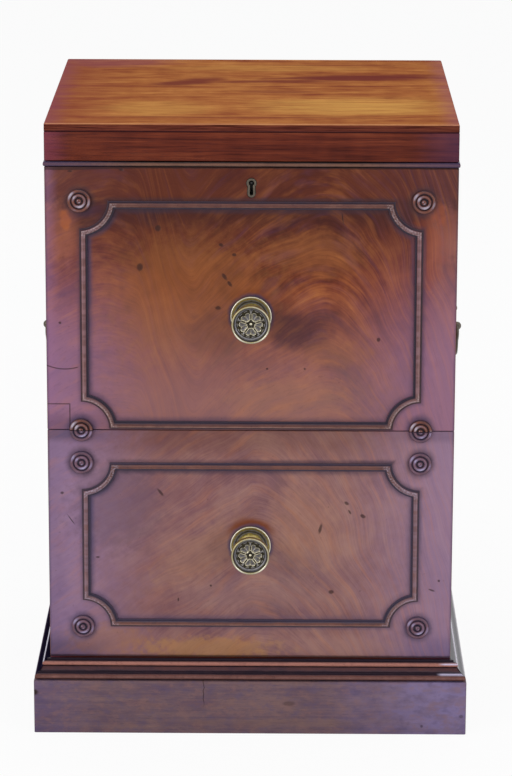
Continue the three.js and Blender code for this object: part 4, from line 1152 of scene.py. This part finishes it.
def knob_profile():
    half_rim = FACE_RIM / 2
    profile = knob_body_profile()
    edge = FACE_BACK + CHAMFER_START
    profile += [(FACE_RADIUS - FACE_CHAMFER, edge, 0.6), (FACE_RADIUS, edge + FACE_CHAMFER, 0.8)]
    top = KNOB_LENGTH - half_rim
    for radius, up in arc((FACE_RADIUS - half_rim, top), (half_rim, half_rim), 0, math.pi, 12):
        profile.append((radius, up, 0.6 + 0.26 * math.sin(math.pi * (FACE_RADIUS - radius) / FACE_RIM)))
    inner = FACE_RADIUS - FACE_RIM
    radii = (inner - ROSETTE_REACH, top - FACE_FLOOR)
    for radius, up in arc((ROSETTE_REACH, top), radii, 0, -QUARTER, 12)[1:]:
        profile.append((radius, up, 0.43 - 0.08 * rise(inner - radius, 0, radii[0])))
    for ring in range(1, ROSETTE_RINGS + 1):
        profile.append((ROSETTE_REACH * (1 - ring / ROSETTE_RINGS), FACE_FLOOR, 0.05))
    return profile


def knob(node, level):
    place = Vector((0, TRIM_Y, level))
    shape = turned(knob_profile(), KNOB_TURNS, place)
    layer = shape.verts.layers.float["wear"]
    floor = TRIM_Y - FACE_FLOOR
    for corner in shape.verts:
        spread = corner.co / MM - place
        radius = math.hypot(spread.x, spread.z)
        angle = math.atan2(spread.z, spread.x)
        if abs(corner.co.y / MM - floor) < WELD and radius < ROSETTE_REACH - WELD:
            height = rosette(radius / ROSETTE_SHARE, angle)
            corner.co.y = (floor - height) * MM
            corner[layer] = 0.12 + 0.3 * rise(height, 0.1, 0.5) + 0.42 * rise(height, 0.85, 1.4)
        elif abs(radius - FACE_RADIUS + FACE_RIM / 2) < FACE_RIM and corner.co.y / MM < floor:
            # Painted highlights on the face's rim at its lower left and lower right, and a fainter one at the
            # upper right
            rim_highlights = 0.34 * (bell(angle + 2.3, 0.4) + bell(angle + 0.8, 0.4)) + 0.1 * bell(angle - 1, 0.7)
            corner[layer] *= 0.78 + rim_highlights
    in_place(node, shape, knob_brass, KNOB_CREASE)


knob("knob_upper", UPPER_KNOB)
knob("knob_lower", LOWER_KNOB)

# Base mouldings, bead and lid board
SEAT_GAP = 0.3
TRIM_X = HALF_CASE + SEAT_GAP
BASE_Y = FRONT_Y - SEAT_GAP
MITRE_PULL = SEAT_GAP / 2
BASE_OUT = BASE_Y - node_box("base_moulding_front")[0].y
TORUS_RADIUS = 3.4
TORUS_QUIRK = 0.8
COVE_RADIUS = 4.8
COVE_FILLET = 0.5
COVE_LIFT = 1.4
BEAD_RADIUS = 2.7
BEAD_OUT = 5.6
BEAD_QUIRK = 0.5
TOP_FILLET = 3.4
LID_BEAD_LOW, LID_BEAD_HIGH = (corner.z for corner in node_box("lid_bead"))
LID_BEAD_REACH = FRONT_Y - node_box("lid_bead")[0].y
LID_BEAD_SEAT = 5.7


def base_section():
    """Torus, fillet, cove, bead and top fillet, from the plinth up: reach, level and wear."""
    out = BASE_OUT - TORUS_RADIUS
    up = BASE_LOW + TORUS_QUIRK + TORUS_RADIUS
    section = [(0, BASE_LOW, 0), (out, BASE_LOW, 0)]
    for across, level in arc((out, up), (TORUS_RADIUS, TORUS_RADIUS), -QUARTER, QUARTER, 14):
        section.append((across, level, 0.74 * ((across - out) / TORUS_RADIUS) ** 1.2 if across > out else 0))
    fillet_out = out - COVE_FILLET
    cove_top = up + TORUS_RADIUS + COVE_LIFT + COVE_RADIUS
    section.append((fillet_out, up + TORUS_RADIUS, 0.05))
    hollow = arc((fillet_out, cove_top), (COVE_RADIUS, COVE_RADIUS), -QUARTER, -math.pi, 12)
    for turn, (across, level) in enumerate(hollow):
        section.append((across, level, 0.05 + 0.3 * rise(turn, 2, 8)))
    section.append((BEAD_OUT, cove_top, 0.05))
    middle = cove_top + BEAD_QUIRK + BEAD_RADIUS
    for across, level in arc((BEAD_OUT, middle), (BEAD_RADIUS, BEAD_RADIUS), -QUARTER, QUARTER, 10):
        crest = (across - BEAD_OUT) / BEAD_RADIUS
        section.append((across, level, crest**0.4 if crest > 0 else 0))
    section += [(TOP_FILLET, middle + BEAD_RADIUS, 0.05), (TOP_FILLET, BASE_HIGH, 0.02), (0, BASE_HIGH, 0)]
    return section


def lid_bead_section():
    half = (LID_BEAD_HIGH - LID_BEAD_LOW) / 2
    section = [(-LID_BEAD_SEAT, LID_BEAD_LOW, 0)]
    for out, level in arc((0, LID_BEAD_LOW + half), (LID_BEAD_REACH, half), -QUARTER, QUARTER, 14):
        section.append((out, level, (out / LID_BEAD_REACH) ** 2.2 if out > 0 else 0))
    section.append((-LID_BEAD_SEAT, LID_BEAD_HIGH, 0))
    return section


def along_runs(node, section, corners, material):
    """A section of reach, level and wear, run past corners that say where its face is and how it mitres."""
    rows = []
    for x, y, mitre_x, mitre_y in corners:
        rows.append([(x + out * mitre_x, y + out * mitre_y, level, wear) for out, level, wear in section])
    in_place(node, lofted(rows, True), material)


BASE_RUNS = (
    ("front", "base_trim", ((-TRIM_X + MITRE_PULL, BASE_Y, -1, -1), (TRIM_X - MITRE_PULL, BASE_Y, 1, -1))),
    ("left", "left_base_trim", ((-TRIM_X, BASE_Y + MITRE_PULL, -1, -1), (-TRIM_X, BACK_Y, -1, 0))),
    ("right", "right_base_trim", ((TRIM_X, BASE_Y + MITRE_PULL, 1, -1), (TRIM_X, BACK_Y, 1, 0))),
)
LID_BEAD_RUN = (
    (-HALF_CASE, BACK_Y, -1, 0),
    (-HALF_CASE, FRONT_Y, -1, -1),
    (HALF_CASE, FRONT_Y, 1, -1),
    (HALF_CASE, BACK_Y, 1, 0),
)
for end, trim, run in BASE_RUNS:
    along_runs(f"base_moulding_{end}", base_section(), run, trims[trim])
along_runs("lid_bead", lid_bead_section(), LID_BEAD_RUN, trims["bead_trim"])

LID_ROUNDING = 2.0
LID_CORNER = 1.4
LID_FOOT = 0.35


def lid_board():
    """The lid's top board, rounded along its upper edges and at its corners."""
    levels = [(LID_FOOT, LID_LOW.z), (0.0, LID_LOW.z + LID_FOOT)]
    for inset, up in arc((0, 0), (1, 1), 0, QUARTER, 8):
        levels.append((LID_ROUNDING * (1 - inset), LID_HIGH.z - LID_ROUNDING * (1 - up)))
    rows = []
    for inset, level in levels:
        loop = []
        left, right = LID_LOW.x + inset + LID_CORNER, LID_HIGH.x - inset - LID_CORNER
        front, back = LID_LOW.y + inset + LID_CORNER, LID_HIGH.y - inset - LID_CORNER
        for turn, centre in enumerate(((right, back), (left, back), (left, front), (right, front))):
            start = turn * QUARTER
            for x, y in arc(centre, (LID_CORNER, LID_CORNER), start, start + QUARTER, 4):
                loop.append((x, y, level, 0.5))
        rows.append(loop)
    in_place("lid_board", lofted(rows, True), lid_top)


lid_board()

# Boards, plates and leaves
PLATE_EASING = 0.25
LEAF_EASING = 0.2
POST_EASING = 0.15
for material, slot, easing, nodes in (
    (upper_wood, "front_mahogany", BOARD_EASING, "upper_front"),
    (lower_wood, "front_mahogany", BOARD_EASING, "drawer_front"),
    (case_side, "case_mahogany", BOARD_EASING, "case_side_left case_side_right"),
    (lid_front, "case_mahogany", BOARD_EASING, "bottom_rail lid_rail_back"),
    (lid_front, "front_mahogany", BOARD_EASING, "lid_rail_front"),
    (lid_side, "case_mahogany", BOARD_EASING, "lid_rail_left lid_rail_right"),
    (plinth_x, "plinth_mahogany", BOARD_EASING, "plinth_front plinth_back"),
    (plinth_y, "plinth_mahogany", BOARD_EASING, "plinth_left plinth_right"),
    (pale_x, "secondary_wood", BOARD_EASING, "carcass_bottom compartment_floor drawer_back"),
    (pale_x, "secondary_wood", BOARD_EASING, "divider_long_1 divider_long_2"),
    (pale_y, "secondary_wood", BOARD_EASING, "divider_cross_1 divider_cross_2 drawer_bottom"),
    (pale_y, "secondary_wood", BOARD_EASING, "drawer_side_left drawer_side_right"),
    (pale_z, "secondary_wood", BOARD_EASING, "back_panel"),
    (dull_brass, "brass", PLATE_EASING, "escutcheon"),
    (plain_brass, "brass", PLATE_EASING, "staple_plate"),
    (lock_brass, "brass", PLATE_EASING, "lock_case lock_bolt"),
    (plain_brass, "brass", LEAF_EASING, "hinge_case_leaf_left hinge_lid_leaf_left"),
    (plain_brass, "brass", LEAF_EASING, "hinge_case_leaf_right hinge_lid_leaf_right"),
    (dull_brass, "brass", POST_EASING, "handle_post_left_front handle_post_left_back"),
    (dull_brass, "brass", POST_EASING, "handle_post_right_front handle_post_right_back"),
):
    for node in nodes.split():
        eased(node, material, easing)
LINING = frame["nodes"]["compartment_lining"]
LINING.data.materials.clear()
LINING.data.materials.append(lining)

# Screws
SCREW_RADIUS = 2.4
SCREW_ROOT = 0.4
SCREW_PROUD = 0.12
SCREW_BEVEL = 0.2
SCREW_SLOT = 0.35
SCREW_TURN = 0.7
SCREW_WEAR = 0.8
SCREW_CREASE = math.radians(20)
LEAF_INSET = 5.5
LEAF_SCREWS = (-22, 0, 22)
LOCK_SCREWS = (-23, 23)
STAPLE_SCREWS = (-16, 16)


def screws(name, places, body, facing):
    """Slotted screw heads, each as two halves, that stand a little out of a leaf or plate."""
    shape, layer = new_shape()
    levels = (
        (SCREW_RADIUS, -SCREW_ROOT),
        (SCREW_RADIUS, SCREW_PROUD / 2),
        (SCREW_RADIUS - SCREW_BEVEL, SCREW_PROUD),
    )
    for number, (x, y, level) in enumerate(places):
        cos, sin = math.cos(SCREW_TURN * number), math.sin(SCREW_TURN * number)
        for half in (0, math.pi):
            start = half + math.asin(SCREW_SLOT / SCREW_RADIUS)
            rows = []
            for radius, up in levels:
                row = []
                for near, far in arc((0, 0), (radius, radius), start, 2 * half + math.pi - start, 14):
                    place = (x + near * cos - far * sin, y + near * sin + far * cos, level + facing * up)
                    row.append((*place, SCREW_WEAR))
                rows.append(row)
            add_rows(shape, layer, rows, True)
    settle(name, shape, plain_brass, body, (), SCREW_CREASE)


for end in ("left", "right"):
    leaf = f"hinge_case_leaf_{end}"
    leaf_y = node_box("hinge_case_leaf_left")[0].y + LEAF_INSET
    for part, level, facing in (("case", CASE_TOP, 1), ("lid", LID_RAIL_LOW, -1)):
        places = [(node_middle(leaf, "x") + offset, leaf_y, level) for offset in LEAF_SCREWS]
        screws(f"hinge_screws_{part}_{end}", places, part, facing)
for name, plate, offsets, level, body, facing in (
    ("lock_screws", "lock_case", LOCK_SCREWS, CASE_TOP, "case", 1),
    ("staple_screws", "staple_plate", STAPLE_SCREWS, LID_RAIL_LOW, "lid", -1),
):
    screws(name, [(offset, node_middle(plate, "y"), level) for offset in offsets], body, facing)

# Side handles
POST_REACH = 10.0
POST_HEAD = 5.0
BAR_RADIUS = 2.0
BAR_TURNS = 24
GRIP_HALF = 30
HANDLE_SPAN = 84.0
BORE_END = 0.5
BAIL_OVERHANG = 11.0
BAIL_DROP = 40.0
BAIL_BEND = 5.0
BEND_SHARES = ((1, 0.32), (0.79, 0.36), (0.707, 0.614))
GRIP_SHARES = ((0.638, 0.818), (0.483, 1), (0.241, 1))
HANDLE_Y = (FRONT_Y + BACK_Y) / 2
HANDLE_Z = node_middle("handle_post_left_front", "z")


def bezier(points, steps):
    """Points on a Bezier curve after its start."""
    made = []
    for step in range(1, steps + 1):
        level = [Vector(point) for point in points]
        while len(level) > 1:
            level = [a.lerp(b, step / steps) for a, b in zip(level, level[1:])]
        made.append(level[0])
    return made


def bail_path():
    """Points from one head's bore to the other's, across and down from the pivot."""
    outer = HANDLE_SPAN / 2 + BAIL_OVERHANG
    stub = (HANDLE_SPAN / 2 - POST_HEAD - BORE_END, 0)
    top = (outer - BAIL_BEND, 0)
    shoulder = (outer, -BAIL_BEND)
    bend = [(outer * across, -BAIL_DROP * down) for across, down in BEND_SHARES]
    grip = [(outer * across, -BAIL_DROP * down) for across, down in GRIP_SHARES]
    half = [Vector(stub)]
    for points, steps in (
        ((stub, top), 6),
        ((top, (outer, 0), shoulder), 8),
        ((shoulder, *bend), 16),
        ((bend[2], *grip), 16),
        ((grip[2], (0, -BAIL_DROP)), 6),
    ):
        half += bezier(points, steps)
    return half + [Vector((-point.x, point.y)) for point in reversed(half[:-1])]


def bail(node, side):
    path = bail_path()
    pivot = Vector((side * (TRIM_X + POST_REACH), HANDLE_Y, HANDLE_Z))
    rows = []
    for index, point in enumerate(path):
        wear = 0.75 if abs(point.x) < GRIP_HALF else 0.55
        run = (path[min(index + 1, len(path) - 1)] - path[max(index - 1, 0)]).normalized()
        normal = Vector((-run.y, run.x))
        row = []
        for turn in range(BAR_TURNS):
            angle = FULL_TURN * turn / BAR_TURNS
            offset = normal * (BAR_RADIUS * math.cos(angle))
            place = Vector((BAR_RADIUS * math.sin(angle), point.x + offset.x, point.y + offset.y))
            row.append((*(pivot + place), wear))
        rows.append(row)
    in_place(node, lofted(rows, True), dull_brass)


bail("handle_bail_left", -1)
bail("handle_bail_right", 1)

# Studio: lamps with their place, size in metres and power
FLOOR_REACH = 9.0
FLOOR_STOPS = ((0.3, 238.614, 238.614, 239.834), (0.7, 243.445, 243.445, 243.445))
FLOOR_WHITE_SHARE = 0.93
WHITE = (1, 1, 1, 1)
AMBIENT = (0.95, 0.97, 1.0, 1)
AMBIENT_LEVEL = 0.5
LAMP_TARGET = Vector((0, 0, 0.36))
LAMPS = (
    ("left", (-2.5, -2.3, 1.25), (1.5, 1.8), 34),
    ("right", (2.4, -2.5, 1.1), (1.4, 1.7), 24),
    ("top", (0.0, -0.5, 2.9), (2.2, 1.8), 16),
    ("back", (0.4, 2.3, 2.8), (1.8, 1.4), 12),
)


def pale_floor():
    """A wide floor that shows white to the camera and in reflections and keeps a soft shadow."""
    tree = Material("floor_paper")
    fleck = tree.noise(tree.x * 0.02, tree.y * 0.02, 0.0, 2.0)
    cloth = tree.add("ShaderNodeBsdfDiffuse", {"Color": tree.ramp(fleck, FLOOR_STOPS)})
    glow = tree.add("ShaderNodeEmission", {"Color": WHITE, "Strength": 1.0})
    paper = tree.close("ShaderNodeOutputMaterial", tree.shown() * FLOOR_WHITE_SHARE, cloth, glow)
    mesh = bpy.data.meshes.new("floor")
    corners = [(x * FLOOR_REACH, y * FLOOR_REACH, 0) for x, y in ((-1, -1), (1, -1), (1, 1), (-1, 1))]
    mesh.from_pydata(corners, [], [(0, 1, 2, 3)])
    mesh.materials.append(paper)
    put("floor", mesh)


def white_world():
    """A world that shows white and lights the piece softly."""
    tree = Tree(bpy.data.worlds.new("studio"))
    ambient = tree.add("ShaderNodeBackground", {"Color": AMBIENT, "Strength": AMBIENT_LEVEL})
    white = tree.add("ShaderNodeBackground", {"Color": WHITE, "Strength": 1.0})
    bpy.context.scene.world = tree.close("ShaderNodeOutputWorld", tree.shown(), ambient, white)


def softbox(name, place, size, power):
    lamp = bpy.data.lights.new(name, "AREA")
    lamp.shape = "RECTANGLE"
    lamp.size, lamp.size_y = size
    lamp.energy = power
    made = put(name, lamp)
    made.location = place
    made.rotation_euler = (LAMP_TARGET - Vector(place)).to_track_quat("-Z", "Y").to_euler()


def camera():
    lens = bpy.data.cameras.new("camera")
    lens.sensor_width = SENSOR
    lens.lens = FOCAL_PIXELS / FRAME_TALL * SENSOR
    lens.shift_y = RISE_PIXELS / FRAME_TALL
    lens.clip_start, lens.clip_end = CAMERA_RANGE
    made = put("camera", lens)
    turn = Matrix.Rotation(-math.radians(CAMERA_YAW), 4, "Z")
    tilt = Matrix.Rotation(QUARTER - math.radians(CAMERA_PITCH), 4, "X")
    roll = Matrix.Rotation(math.radians(CAMERA_ROLL), 4, "Z")
    made.matrix_world = Matrix.Translation(Vector(CAMERA_PLACE) * MM) @ turn @ tilt @ roll
    bpy.context.scene.camera = made


pale_floor()
white_world()
for lamp in LAMPS:
    softbox(*lamp)
camera()

bpy.context.scene.view_settings.view_transform = "Standard"
